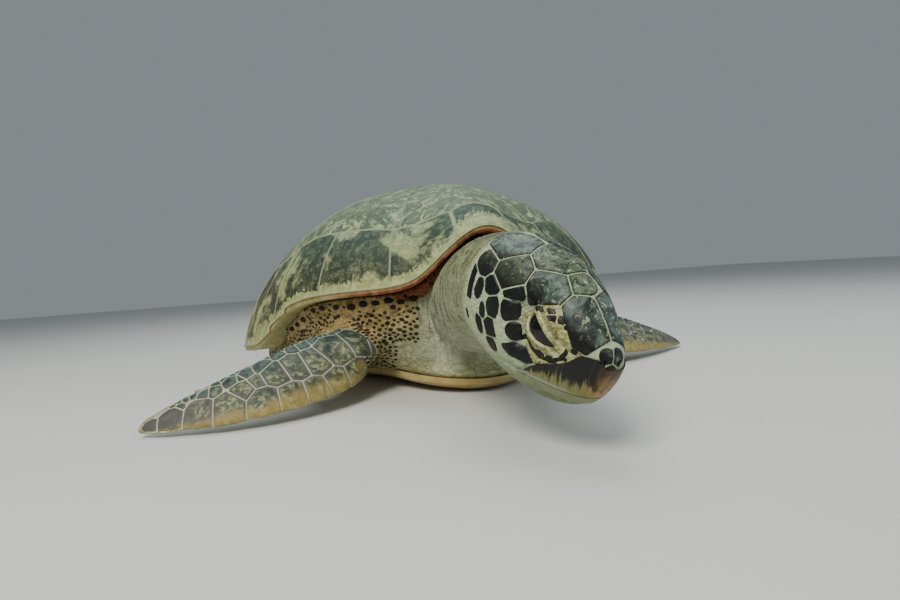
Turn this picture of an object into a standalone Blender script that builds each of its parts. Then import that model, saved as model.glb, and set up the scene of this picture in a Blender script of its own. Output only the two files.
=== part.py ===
"""Green sea turtle (Chelonia mydas), adult, life size, grazing on a level floor.

Metres, +Z up. The turtle faces -Y and its left side is +X. The origin is on the flat
under its plastron, on the midline, below the widest part of the shell.
"""
from math import cos, exp, pi, radians, sin, sqrt

import bmesh
import bpy
from mathutils import Euler, Matrix, Vector

GAP = 0.0003                    # clear space between neighbouring pieces

# Shell
SHELL_HALF_WIDTH = 0.368
SHELL_FRONT = 0.416             # from the widest station forward to the nuchal edge
SHELL_REAR = 0.520              # from the widest station back to the last marginal
FRONT_ROUNDNESS = 1.60          # 1 is a wedge, 2 an ellipse
REAR_ROUNDNESS = 1.75
RIDGE_TOP = 0.349               # highest point of the back
RIDGE_TOP_Y = -0.20
RIDGE_FALL_AHEAD = 0.18         # how fast the ridge drops towards the head
RIDGE_FALL_BEHIND = 0.42
DOME_SHOULDER = 2.25
DOME_FULLNESS = 0.66
SHELL_RING = 54
SHELL_THICKNESS = 0.015
RIM_EDGE = 0.008                # thickness of the marginal edge
RIM_TUCK = 0.042                # width of the underside of the marginals
RIM_LEAN = 0.002                # how far the edge leans in under itself
OUTER_REACHES = (0.07, 0.24, 0.42, 0.58, 0.72, 0.84, 0.93, 0.98, 1.0)
INNER_REACHES = (0.80, 0.42)
# Height of the rim: (degrees round from the nuchal scute, height)
RIM_HEIGHTS = ((0, 0.235), (8, 0.228), (20, 0.163), (26, 0.157), (44, 0.154), (52, 0.138),
               (69, 0.068), (95, 0.058), (130, 0.078), (160, 0.100), (180, 0.098))
# Height the dome springs from, before its rim bends up or down to the heights above
DOME_BASE = ((0, 0.190), (45, 0.146), (95, 0.058), (140, 0.078), (180, 0.098))
RIM_FLARE = 7.0                 # how closely that bend keeps to the rim

# Plastron
PLASTRON_HALF_LENGTH = 0.390
PLASTRON_LOBE = 0.155           # half width of the lobes fore and aft
PLASTRON_LOBE_POWER = 2.6
BRIDGE_REACH = 0.162            # how far the bridge stands out beyond the lobes
BRIDGE_HALF_LENGTH = 0.165
PLASTRON_RIM_LOW = 0.010        # height of the rim at the tips and at the bridge
PLASTRON_RIM_HIGH = 0.046
PLASTRON_FLAT = (0.80, 0.94)    # share of the width and length that lies on the floor
PLASTRON_THICKNESS = 0.010
PLASTRON_CROWN = 0.004          # how much its inner face rises towards the middle
PLASTRON_RING = 32
BRIDGE_RISE_POWER = 1.5         # how the rim climbs from the lobes to the bridge

# Head, in its own frame: snout tip at the origin, facing -Y
HEAD_LENGTH = 0.172
HEAD_AT = (0.004, -0.716, 0.086)
HEAD_YAW = radians(14.6)        # towards the turtle's left
HEAD_PITCH = radians(-26.6)     # snout down
HEAD_ROLL = radians(5.8)
# Sections, in head lengths: (back from the snout, crown, throat, half width)
HEAD_SECTIONS = ((0.000, 0.010, -0.115, 0.050), (0.018, 0.050, -0.200, 0.088),
                 (0.060, 0.100, -0.285, 0.114), (0.120, 0.152, -0.348, 0.150),
                 (0.200, 0.208, -0.402, 0.192), (0.300, 0.262, -0.446, 0.238),
                 (0.420, 0.306, -0.474, 0.288), (0.550, 0.334, -0.486, 0.334),
                 (0.680, 0.348, -0.482, 0.362), (0.820, 0.350, -0.468, 0.374),
                 (0.940, 0.340, -0.450, 0.362), (1.020, 0.326, -0.436, 0.348))
HEAD_SQUARENESS = 2.25
CHEEK_LINE = 0.03               # how far the widest line lies above the middle
HEAD_RING = 14
# Side view of the mouth and of the beak's upper edge: (ahead of the snout tip, up)
MOUTH_LINE = ((0.08, -0.215), (-0.03, -0.222), (-0.10, -0.246), (-0.20, -0.264),
              (-0.30, -0.280), (-0.38, -0.287), (-0.43, -0.293), (-0.52, -0.305))
BEAK_TOP = ((0.08, -0.030), (-0.010, -0.035), (-0.045, 0.000), (-0.115, -0.015),
            (-0.165, -0.085), (-0.225, -0.133), (-0.290, -0.168), (-0.340, -0.215),
            (-0.380, -0.262))
JAW_BACK = ((-0.60, -0.36), (-0.60, -0.70), (0.08, -0.70))
NAPE = 0.98                     # where head and neck part, back from the snout
NAPE_LEAN = 0.10                # how far that cut leans back on its way down
LOWER_BEAK_BACK = -0.31
LOWER_BEAK_DEPTH = 0.052
EYE_RADIUS = 0.0210
EYE_BACK, EYE_SIDE, EYE_UP = 0.365, 0.144, -0.002   # in head lengths

# Neck: (centre, half width, half height), from inside the chest to the back of the head
NECK_SECTIONS = (((0.000, -0.335, 0.105), 0.060, 0.042), ((0.000, -0.378, 0.120), 0.086, 0.066),
                 ((-0.003, -0.420, 0.132), 0.090, 0.078), ((-0.012, -0.465, 0.143), 0.080, 0.075),
                 ((-0.024, -0.520, 0.150), 0.068, 0.070))

NECK_BASE_Y = -0.392            # where neck and trunk part

# Trunk
TRUNK_LEVELS = (0.028, 0.060, 0.095, 0.130, 0.165, 0.200, 0.235, 0.265, 0.288)
TRUNK_RING = 24
# Share of the shell outline that flesh fills below the rim: (degrees from the front, share)
TRUNK_INSETS = ((0, 0.905), (14, 0.91), (24, 0.965), (58, 0.965), (72, 0.90), (120, 0.88), (180, 0.90))
TRUNK_CLEARANCE = 0.007
REACH_STEP = 0.004
# The hollow behind each front flipper: degrees from the front, spread, height, depth as a share
ARMPIT_TURN = 42
ARMPIT_SPREAD = 22
ARMPIT_HEIGHT = 0.110
ARMPIT_DEPTH = 0.30

# Front limbs, one entry for each side: heel and tip of the blade's leading edge
FRONT_BLADES = {
    "right": {"heel": (-0.156, -0.340, 0.024), "tip": (-0.459, -0.393, 0.002),
              "bow": 0.066, "tilt": radians(46)},
    "left": {"heel": (0.165, -0.340, 0.024), "tip": (0.455, -0.212, 0.002),
             "bow": 0.020, "tilt": radians(46)},
}
FRONT_CHORD = 0.128
FRONT_THICKNESS = 0.036
# Blade stations: (share of the span, share of the chord, share of the thickness)
FRONT_STATIONS = ((-0.025, 0.45, 0.55), (0.040, 0.82, 0.95), (0.150, 0.97, 1.00),
                  (0.320, 0.97, 0.90), (0.520, 0.80, 0.70), (0.720, 0.58, 0.50),
                  (0.900, 0.35, 0.34), (1.000, 0.13, 0.18))
BLADE_RING = 8
HEEL_PULL = 0.45                # how far the rounded heel is set back along the chord
HEEL_LENGTH = 0.20              # share of the span over which that dies away
BLADE_BELLY = 0.75              # fullness of the underside against the top
BLADE_FULLNESS = 1.90
BLADE_TRAILING = 0.10           # thickness kept at the trailing edge

# Hind limbs
HIND_BLADES = {
    "right": {"heel": (-0.152, 0.400, 0.020), "tip": (-0.250, 0.605, 0.004),
              "bow": -0.012, "tilt": radians(8)},
    "left": {"heel": (0.152, 0.400, 0.020), "tip": (0.250, 0.605, 0.004),
             "bow": -0.012, "tilt": radians(8)},
}
HIND_CHORD = 0.118
HIND_THICKNESS = 0.026
HIND_STATIONS = ((-0.030, 0.50, 0.60), (0.100, 0.78, 0.97), (0.380, 0.95, 0.94),
                 (0.680, 1.00, 0.72), (0.880, 0.82, 0.50), (1.000, 0.34, 0.24))
HIND_TIP_PULL = 0.50            # how far the rounded tip is set back along the chord
HIND_TIP_LENGTH = 0.40          # share of the span over which that builds up
# Limb roots: where they start inside the shell, and (half width, half height) on the way out
ROOT_PLACES = (0.0, 0.45, 0.80, 1.0)
ROOT_CUT = 0.86                 # where the root parts from the flipper
FRONT_ELBOW = 0.20              # share of the flipper's span that the root runs into
HIND_ELBOW = 0.16
ELBOW_CHORD = 0.52              # and where along its chord
SHOULDER = (0.150, -0.190, 0.088)
UPPER_ARM_SIZES = ((0.070, 0.040), (0.080, 0.044), (0.066, 0.034), (0.036, 0.016))
HIP = (0.100, 0.270, 0.082)
THIGH_SIZES = ((0.056, 0.026), (0.058, 0.028), (0.046, 0.020), (0.026, 0.008))
FRONT_LIMB = {"root": "front_upper_arm_", "blade": "front_flipper_", "places": FRONT_BLADES,
              "stations": FRONT_STATIONS, "chord": FRONT_CHORD, "thickness": FRONT_THICKNESS,
              "tip_pull": 0.0, "girdle": SHOULDER, "sizes": UPPER_ARM_SIZES, "elbow": FRONT_ELBOW}
HIND_LIMB = {"root": "hind_thigh_", "blade": "hind_flipper_", "places": HIND_BLADES,
             "stations": HIND_STATIONS, "chord": HIND_CHORD, "thickness": HIND_THICKNESS,
             "tip_pull": HIND_TIP_PULL, "girdle": HIP, "sizes": THIGH_SIZES, "elbow": HIND_ELBOW}
TAIL_SECTIONS = (((0, 0.330, 0.062), 0.042, 0.026), ((0, 0.400, 0.056), 0.032, 0.022),
                 ((0, 0.460, 0.046), 0.020, 0.015), ((0, 0.505, 0.035), 0.010, 0.009),
                 ((0, 0.522, 0.029), 0.003, 0.003))

# Materials: colour, roughness
SHELL_GREEN = (0.17, 0.21, 0.13)
PLASTRON_CREAM = (0.72, 0.62, 0.36)
SKIN_CREAM = (0.62, 0.58, 0.38)
HEAD_DARK = (0.06, 0.08, 0.06)
FLIPPER_GREY = (0.19, 0.20, 0.14)
BEAK_BROWN = (0.16, 0.10, 0.04)
BEAK_OLIVE = (0.38, 0.32, 0.13)
EYE_BLACK = (0.012, 0.011, 0.010)


def clear_scene():
    for old in list(bpy.data.objects):
        bpy.data.objects.remove(old, do_unlink=True)


def collection(name, hidden=False):
    made = bpy.data.collections.new(name)
    bpy.context.scene.collection.children.link(made)
    made.hide_render = hidden
    return made


def material(name, colour, roughness):
    made = bpy.data.materials.new(name)
    made.use_nodes = True
    shader = made.node_tree.nodes["Principled BSDF"]
    shader.inputs["Base Color"].default_value = (*colour, 1.0)
    shader.inputs["Roughness"].default_value = roughness
    shader.inputs["Metallic"].default_value = 0.0
    made.diffuse_color = (*colour, 1.0)
    return made


def blend(table, at):
    """Smooth reading of (place, value) pairs, flat before the first and after the last."""
    if at <= table[0][0]:
        return table[0][1]
    for (a, low), (b, high) in zip(table, table[1:]):
        if at <= b:
            share = (at - a) / (b - a)
            share = share * share * (3 - 2 * share)
            return low + (high - low) * share
    return table[-1][1]


def power(value, exponent):
    """A signed power, for superellipses."""
    return abs(value) ** exponent * (1 if value >= 0 else -1)


def object_from(bm, name, home, finish):
    bmesh.ops.recalc_face_normals(bm, faces=bm.faces)
    mesh = bpy.data.meshes.new(name)
    bm.to_mesh(mesh)
    bm.free()
    mesh.shade_smooth()
    made = bpy.data.objects.new(name, mesh)
    if finish:
        mesh.materials.append(finish)
    home.objects.link(made)
    return made


def loft(name, rings, home, finish, levels=1, join_ends=False):
    """A closed skin over rings of equal count, with a face at each end, then smoothed."""
    bm = bmesh.new()
    rows = [[bm.verts.new(point) for point in ring] for ring in rings]
    count = len(rows[0])
    pairs = list(zip(rows, rows[1:]))
    if join_ends:
        pairs.append((rows[-1], rows[0]))
    for low, high in pairs:
        for i in range(count):
            j = (i + 1) % count
            bm.faces.new((low[i], low[j], high[j], high[i]))
    if not join_ends:
        bm.faces.new(rows[0])
        bm.faces.new(rows[-1])
    made = object_from(bm, name, home, finish)
    if levels:
        smooth = made.modifiers.new("Smooth", "SUBSURF")
        smooth.levels = levels
        smooth.render_levels = levels
    made.modifiers.new("Flat faces", "TRIANGULATE")
    return made


def make_cutter(made, cutters):
    for old in list(made.users_collection):
        old.objects.unlink(made)
    cutters.objects.link(made)
    made.hide_render = True
    made.display_type = "WIRE"
    return made


def grown_copy(source, cutters):
    """The same solid, untrimmed and swollen by the gap, for trimming a neighbour."""
    made = source.copy()
    made.name = "cut_" + source.name
    for change in list(made.modifiers):
        if change.type == "BOOLEAN":
            made.modifiers.remove(change)
    cutters.objects.link(made)
    made.hide_render = True
    made.display_type = "WIRE"
    swell = made.modifiers.new("Gap", "DISPLACE")
    swell.strength = GAP
    swell.mid_level = 0.0
    return made


def trim(target, cutter, operation="DIFFERENCE"):
    cut = target.modifiers.new("Trim " + cutter.name, "BOOLEAN")
    cut.operation = operation
    cut.object = cutter
    return cut


def floor_cutter(cutters):
    bm = bmesh.new()
    bmesh.ops.create_cube(bm, size=1.0)
    bmesh.ops.scale(bm, vec=(2.4, 2.4, 0.2), verts=bm.verts)
    bmesh.ops.translate(bm, vec=(0, 0, -0.1), verts=bm.verts)
    made = object_from(bm, "cut_floor", cutters, None)
    return make_cutter(made, cutters)


# ---------------------------------------------------------------- shell

def rim_height(turn):
    """Height of the shell's rim at an angle round from the front, in radians."""
    half_turn = pi - abs(pi - turn % (2 * pi))
    return blend(RIM_HEIGHTS, half_turn * 180 / pi)


def rim_point(turn):
    """Plan position of the rim at an angle round from the front."""
    ahead = cos(turn)
    roundness = FRONT_ROUNDNESS if ahead > 0 else REAR_ROUNDNESS
    length = SHELL_FRONT if ahead > 0 else SHELL_REAR
    x = SHELL_HALF_WIDTH * power(sin(turn), 2 / roundness)
    y = -length * power(ahead, 2 / roundness)
    return x, y


def ridge_height(y):
    fall = RIDGE_FALL_AHEAD if y < RIDGE_TOP_Y else RIDGE_FALL_BEHIND
    return RIDGE_TOP - fall * (y - RIDGE_TOP_Y) ** 2


def dome_point(turn, reach, sink=0.0):
    """A point of the dome, reach 0 on top and 1 at the rim, sunk below the surface."""
    rim_x, rim_y = rim_point(turn)
    x = reach * rim_x
    y = reach * rim_y
    half_turn = pi - abs(pi - turn % (2 * pi))
    base = blend(DOME_BASE, half_turn * 180 / pi)
    rise = max(0.0, 1 - reach ** DOME_SHOULDER) ** DOME_FULLNESS
    z = base + (ridge_height(y) - base) * rise
    z += (rim_height(turn) - base) * reach ** RIM_FLARE
    return Vector((x, y, z - sink))


def carapace(home, finish):
    turns = [2 * pi * i / SHELL_RING for i in range(SHELL_RING)]
    rings = []
    for reach in OUTER_REACHES:
        rings.append([dome_point(turn, reach) for turn in turns])
    edge, tuck = [], []
    for turn in turns:
        lip = dome_point(turn, 1.0)
        inward = Vector((-lip.x, -lip.y, 0)).normalized()
        edge.append(lip + inward * RIM_LEAN - Vector((0, 0, RIM_EDGE)))
        tuck.append(lip + inward * RIM_TUCK - Vector((0, 0, RIM_EDGE)))
    rings.append(edge)
    rings.append(tuck)
    for reach in INNER_REACHES:
        rings.append([dome_point(turn, reach, SHELL_THICKNESS) for turn in turns])
    return loft("carapace", rings, home, finish, levels=0)


def plastron_rim(turn):
    """A point of the plastron's outline, at an angle round from the front."""
    y = -PLASTRON_HALF_LENGTH * cos(turn)
    lobe = PLASTRON_LOBE * sqrt(max(0.0, 1 - abs(cos(turn)) ** PLASTRON_LOBE_POWER))
    half = lobe + BRIDGE_REACH * exp(-(y / BRIDGE_HALF_LENGTH) ** 4)
    share = (half / (PLASTRON_LOBE + BRIDGE_REACH)) ** BRIDGE_RISE_POWER
    z = PLASTRON_RIM_LOW + (PLASTRON_RIM_HIGH - PLASTRON_RIM_LOW) * share
    return Vector((half if sin(turn) > 0 else -half, y, z))


def plastron(home, finish):
    rim = [plastron_rim(2 * pi * (i + 0.5) / PLASTRON_RING) for i in range(PLASTRON_RING)]
    wide, long = PLASTRON_FLAT
    flat = [Vector((p.x * wide, p.y * long, 0.0)) for p in rim]
    above = [p + Vector((0, 0, PLASTRON_THICKNESS)) for p in rim]
    inside = [Vector((p.x, p.y, PLASTRON_THICKNESS + PLASTRON_CROWN)) for p in flat]
    return loft("plastron", [flat, rim, above, inside], home, finish, levels=0)


# ---------------------------------------------------------------- flesh of the body

def reach_at(turn, level):
    """How far out the inside of the dome is at a level."""
    reach = 1.0
    while reach > REACH_STEP and dome_point(turn, reach, SHELL_THICKNESS + TRUNK_CLEARANCE).z < level:
        reach -= REACH_STEP
    return reach


def trunk(home, finish):
    """Flesh that fills the shell and shows between its rim and the plastron."""
    rings = []
    for level in TRUNK_LEVELS:
        ring = []
        for i in range(TRUNK_RING):
            turn = 2 * pi * i / TRUNK_RING
            rim_x, rim_y = rim_point(turn)
            reach = reach_at(turn, level)
            degrees_round = (pi - abs(pi - turn)) * 180 / pi
            reach *= blend(TRUNK_INSETS, degrees_round)
            armpit = exp(-((degrees_round - ARMPIT_TURN) / ARMPIT_SPREAD) ** 2)
            reach *= 1 - ARMPIT_DEPTH * armpit * max(0.0, 1 - level / ARMPIT_HEIGHT)
            ring.append(Vector((reach * rim_x, reach * rim_y, level)))
        rings.append(ring)
    return loft("trunk", rings, home, finish, levels=0)


def oval_ring(centre, half_width, half_height, count, squareness=2.0):
    ring = []
    for i in range(count):
        turn = 2 * pi * i / count
        x = half_width * power(cos(turn), 2 / squareness)
        z = half_height * power(sin(turn), 2 / squareness)
        ring.append(Vector(centre) + Vector((x, 0, z)))
    return ring


def head_frame():
    """World placement of the head: forward is local -Y, left is +X."""
    turn = Euler((-HEAD_PITCH, HEAD_ROLL, HEAD_YAW), "XYZ")
    return Matrix.Translation(HEAD_AT) @ turn.to_matrix().to_4x4()


def head_ring(back, crown, throat, half_width):
    """One section of the head in its own frame, wider below than above."""
    middle = 0.5 * (crown + throat) + CHEEK_LINE
    ring = []
    for i in range(HEAD_RING):
        turn = 2 * pi * i / HEAD_RING
        side = power(cos(turn), 2 / HEAD_SQUARENESS) * half_width
        lift = power(sin(turn), 2 / HEAD_SQUARENESS)
        up = middle + lift * (crown - middle if lift > 0 else middle - throat)
        ring.append(Vector((side, back, up)) * HEAD_LENGTH)
    return ring


def neck_and_head_rings():
    """Rings from inside the chest to the snout, in the head's own frame."""
    back_to_head = head_frame().inverted()
    rings = []
    for centre, wide, high in NECK_SECTIONS:
        ring = oval_ring(centre, wide, high, HEAD_RING)
        rings.append([back_to_head @ point for point in ring])
    for section in reversed(HEAD_SECTIONS):
        rings.append(head_ring(*section))
    return rings


def side_prism(name, outline, home, half_width=0.5):
    """A cutter for the head: an outline in side view, drawn right across it."""
    bm = bmesh.new()
    sides = []
    for x in (-half_width, half_width):
        sides.append([bm.verts.new(Vector((x, -ahead, up)) * HEAD_LENGTH) for ahead, up in outline])
    count = len(outline)
    for i in range(count):
        j = (i + 1) % count
        bm.faces.new((sides[0][i], sides[0][j], sides[1][j], sides[1][i]))
    bm.faces.new(sides[0])
    bm.faces.new(sides[1])
    made = object_from(bm, name, home, None)
    return make_cutter(made, home)


def shifted_back(line, by):
    return [(ahead - by, up) for ahead, up in line]


def head_pieces(home, cutters, skin, beak, lower_beak, eye, collar):
    """Neck, head, both halves of the beak, the lower jaw and the eyes, parted by thin cuts."""
    place = head_frame()
    gap = GAP / HEAD_LENGTH
    whole = loft("head", neck_and_head_rings(), home, skin)
    pieces = {"head": whole}
    rest_of = (("upper_beak", beak), ("lower_beak", lower_beak), ("lower_jaw", skin), ("neck", collar))
    for name, finish in rest_of:
        made = whole.copy()
        made.data = whole.data.copy()
        made.name = name
        made.data.name = name
        made.data.materials.clear()
        made.data.materials.append(finish)
        home.objects.link(made)
        pieces[name] = made

    beak_area = list(BEAK_TOP) + list(reversed(MOUTH_LINE[:-1]))
    jaw_area = list(MOUTH_LINE) + list(JAW_BACK)
    tip_top = [point for point in MOUTH_LINE if point[0] >= LOWER_BEAK_BACK]
    tip_area = tip_top + [(ahead, up - LOWER_BEAK_DEPTH) for ahead, up in reversed(tip_top)]

    beak_room = side_prism("cut_beak_room", beak_area, cutters)
    beak_core = side_prism("cut_beak_core", shrink_outline(beak_area, gap), cutters)
    jaw_room = side_prism("cut_jaw_room", jaw_area, cutters)
    jaw_core = side_prism("cut_jaw_core", shrink_outline(jaw_area, gap), cutters)
    tip_room = side_prism("cut_tip_room", tip_area, cutters)
    tip_core = side_prism("cut_tip_core", shrink_outline(tip_area, gap), cutters)
    front = [(0.3, 1.0), (-NAPE, 1.0), (-NAPE - NAPE_LEAN, -1.2), (0.3, -1.2)]
    front_core = side_prism("cut_front", front, cutters, half_width=0.8)
    back_room = side_prism("cut_back", shifted_back(front, gap), cutters, half_width=0.8)
    cutter_list = (beak_room, beak_core, jaw_room, jaw_core, tip_room, tip_core, front_core, back_room)
    for cutter in cutter_list:
        cutter.matrix_world = place
    for made in pieces.values():
        made.matrix_world = place

    trim(pieces["head"], front_core, "INTERSECT")
    trim(pieces["neck"], back_room)
    trim(pieces["head"], beak_room)
    trim(pieces["head"], jaw_room)
    trim(pieces["upper_beak"], beak_core, "INTERSECT")
    trim(pieces["lower_jaw"], jaw_core, "INTERSECT")
    trim(pieces["lower_jaw"], tip_room)
    trim(pieces["lower_beak"], jaw_core, "INTERSECT")
    trim(pieces["lower_beak"], tip_core, "INTERSECT")

    for side, sign in (("left", 1), ("right", -1)):
        centre = Vector((sign * EYE_SIDE, EYE_BACK, EYE_UP)) * HEAD_LENGTH
        ball = eyeball("eye_" + side, EYE_RADIUS, home, eye)
        socket = eyeball("cut_socket_" + side, EYE_RADIUS + GAP, cutters, None)
        make_cutter(socket, cutters)
        for made in (ball, socket):
            made.matrix_world = place @ Matrix.Translation(centre)
        trim(pieces["head"], socket)
    return pieces


def shrink_outline(outline, by):
    """Moves every corner of an outline inwards, so that cut faces stand apart."""
    area = 0.0
    count = len(outline)
    for i in range(count):
        ax, ay = outline[i]
        bx, by_ = outline[(i + 1) % count]
        area += ax * by_ - bx * ay
    facing = 1 if area > 0 else -1
    result = []
    for i in range(count):
        before = Vector(outline[i - 1])
        here = Vector(outline[i])
        after = Vector(outline[(i + 1) % count])
        first = (here - before).normalized()
        second = (after - here).normalized()
        normal_a = Vector((-first.y, first.x)) * facing
        normal_b = Vector((-second.y, second.x)) * facing
        inward = normal_a + normal_b
        inward *= by / max(0.3, inward.dot(normal_a))
        result.append((here.x + inward.x, here.y + inward.y))
    return result


def eyeball(name, radius, home, finish):
    bm = bmesh.new()
    bmesh.ops.create_uvsphere(bm, u_segments=12, v_segments=8, radius=radius)
    return object_from(bm, name, home, finish)


# ---------------------------------------------------------------- limbs

def blade_frame(spec, share):
    """Leading edge point and chord direction at a share of the blade's span."""
    heel = Vector(spec["heel"])
    tip = Vector(spec["tip"])
    along = tip - heel
    plan = Vector((along.x, along.y, 0)).normalized()
    back = Vector((-plan.y, plan.x, 0))
    if back.y < 0:
        back = -back
    curve = 4 * share * (1 - share)
    lead = heel + along * share - back * spec["bow"] * curve
    lead.z = tip.z + (heel.z - tip.z) * max(0.0, 1 - share) ** 2
    chord = back * cos(spec["tilt"]) + Vector((0, 0, sin(spec["tilt"])))
    return lead, chord, plan


def blade_ring(lead, chord, plan, width, thick):
    """A thin section, round at the leading edge and sharp at the trailing one."""
    normal = plan.cross(chord).normalized()
    if normal.z < 0:
        normal = -normal
    ring = []
    for i in range(BLADE_RING):
        turn = 2 * pi * i / BLADE_RING
        along = 0.5 - 0.5 * cos(turn)
        body = sqrt(max(along, 0.0)) * (1 - along) * BLADE_FULLNESS + BLADE_TRAILING * along
        side = 1 if sin(turn) > 0 else -BLADE_BELLY
        lift = 0.0 if i in (0, BLADE_RING // 2) else side * 0.5 * thick * body
        ring.append(lead + chord * width * along + normal * lift)
    return ring


def blade(name, kind, spec, home, finish):
    rings = []
    for share, wide, thick in kind["stations"]:
        lead, chord, plan = blade_frame(spec, share)
        pull = HEEL_PULL * max(0.0, 1 - share / HEEL_LENGTH)
        pull += kind["tip_pull"] * max(0.0, 1 - (1 - share) / HIND_TIP_LENGTH)
        lead = lead + chord * kind["chord"] * (1 - wide) * pull
        rings.append(blade_ring(lead, chord, plan, kind["chord"] * wide, kind["thickness"] * thick))
    return loft(name, rings, home, finish)


def tube(name, sections, home, finish, count=8, levels=1):
    """A limb over ovals: (centre, half width, half height, axis of the width)."""
    rings = []
    for i, (centre, wide, high, side) in enumerate(sections):
        here = Vector(centre)
        before = Vector(sections[max(i - 1, 0)][0])
        after = Vector(sections[min(i + 1, len(sections) - 1)][0])
        forward = (after - before).normalized()
        across = (side - forward * side.dot(forward)).normalized()
        up = across.cross(forward)
        ring = []
        for k in range(count):
            turn = 2 * pi * k / count
            ring.append(here + across * wide * cos(turn) + up * high * sin(turn))
        rings.append(ring)
    return loft(name, rings, home, finish, levels)


def half_space(name, point, outward, cutters, back_off=0.0):
    """A large block whose near face is a plane through a point."""
    bm = bmesh.new()
    bmesh.ops.create_cube(bm, size=1.0)
    bmesh.ops.translate(bm, vec=(0, 0, 0.5 + back_off), verts=bm.verts)
    made = object_from(bm, name, cutters, None)
    made.rotation_mode = "QUATERNION"
    made.rotation_quaternion = outward.to_track_quat("Z", "Y")
    made.location = point
    return make_cutter(made, cutters)


def limb(kind, side, finishes, stops, home, cutters, floor):
    """A flipper and the flesh at its root, made as one and parted by a thin cut."""
    spec = kind["places"][side]
    root_name = kind["root"] + side
    wing = blade(kind["blade"] + side, kind, spec, home, finishes[1])
    girdle = Vector(kind["girdle"])
    if side == "right":
        girdle.x = -girdle.x
    lead, chord, plan = blade_frame(spec, kind["elbow"])
    end = lead + chord * kind["chord"] * ELBOW_CHORD
    forward = end - girdle
    across = Vector((-forward.y, forward.x, 0)).normalized()
    sections = []
    for place, (wide, high) in zip(ROOT_PLACES, kind["sizes"]):
        sections.append((girdle.lerp(end, place), wide, high, across))
    flesh = tube("cut_" + root_name, sections, cutters, None)
    make_cutter(flesh, cutters)
    trim(wing, flesh, "UNION")
    trim(wing, floor)
    for neighbour in stops:
        trim(wing, neighbour)

    root = wing.copy()
    root.data = wing.data.copy()
    root.name = root_name
    root.data.name = root_name
    root.data.materials.clear()
    root.data.materials.append(finishes[0])
    home.objects.link(root)
    outward = (forward.normalized() * 0.6 + plan * 0.4).normalized()
    at = girdle.lerp(end, ROOT_CUT)
    trim(wing, half_space("cut_outside_" + root_name, at, outward, cutters, GAP), "INTERSECT")
    trim(root, half_space("cut_inside_" + root_name, at, outward, cutters))


def tail(home, finish):
    across = Vector((1, 0, 0))
    sections = [(centre, wide, high, across) for centre, wide, high in TAIL_SECTIONS]
    return tube("tail", sections, home, finish)


def keep_clear(piece, neighbours, cutters):
    for neighbour in neighbours:
        trim(piece, grown_copy(neighbour, cutters))


def build():
    clear_scene()
    home = collection("green_sea_turtle")
    cutters = collection("cutters", hidden=True)
    skin = material("skin", SKIN_CREAM, 0.55)
    scaled = material("flipper_scales", FLIPPER_GREY, 0.45)
    head_skin = material("head_scales", HEAD_DARK, 0.40)
    shell = material("carapace_horn", SHELL_GREEN, 0.38)
    belly = material("plastron_horn", PLASTRON_CREAM, 0.42)
    beak = material("beak_horn", BEAK_BROWN, 0.40)
    lower_beak = material("lower_beak_horn", BEAK_OLIVE, 0.42)
    eye = material("eye", EYE_BLACK, 0.06)

    floor = floor_cutter(cutters)
    shell_top = carapace(home, shell)
    shell_base = plastron(home, belly)
    body = trunk(home, skin)
    pieces = head_pieces(home, cutters, head_skin, beak, lower_beak, eye, skin)
    collar = pieces["neck"]
    throat = grown_copy(collar, cutters)
    throat.modifiers["Gap"].strength = 0.0
    forward = Vector((0, -1, 0))
    neck_base = Vector((0, NECK_BASE_Y, 0))
    trim(body, throat, "UNION")
    trim(body, half_space("cut_neck_side", neck_base, forward, cutters))
    trim(collar, half_space("cut_neck_front", neck_base, forward, cutters, GAP), "INTERSECT")
    keep_clear(body, (shell_top, shell_base), cutters)
    keep_clear(collar, (shell_top, shell_base), cutters)

    stops = [grown_copy(piece, cutters) for piece in (body, shell_top, shell_base, collar)]
    for side in ("left", "right"):
        limb(FRONT_LIMB, side, (skin, scaled), stops, home, cutters, floor)
        limb(HIND_LIMB, side, (skin, scaled), stops[:3], home, cutters, floor)
    rump = tail(home, skin)
    keep_clear(rump, (body, shell_top, shell_base), cutters)


build()
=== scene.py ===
"""A green sea turtle (Chelonia mydas) at rest, life size, as a museum shows one: the skin, the
scales that lie on it and its colours, then beak, eyes, shell and plastron, and last the room.
Metres, +Z up. The turtle faces -Y and its left side is +X."""
from itertools import product
from math import cos, pi, radians, sin, sqrt

import bmesh
import bpy
import numpy as np
from mathutils import Euler, Matrix, Vector
from mathutils.bvhtree import BVHTree
from mathutils.kdtree import KDTree


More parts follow.
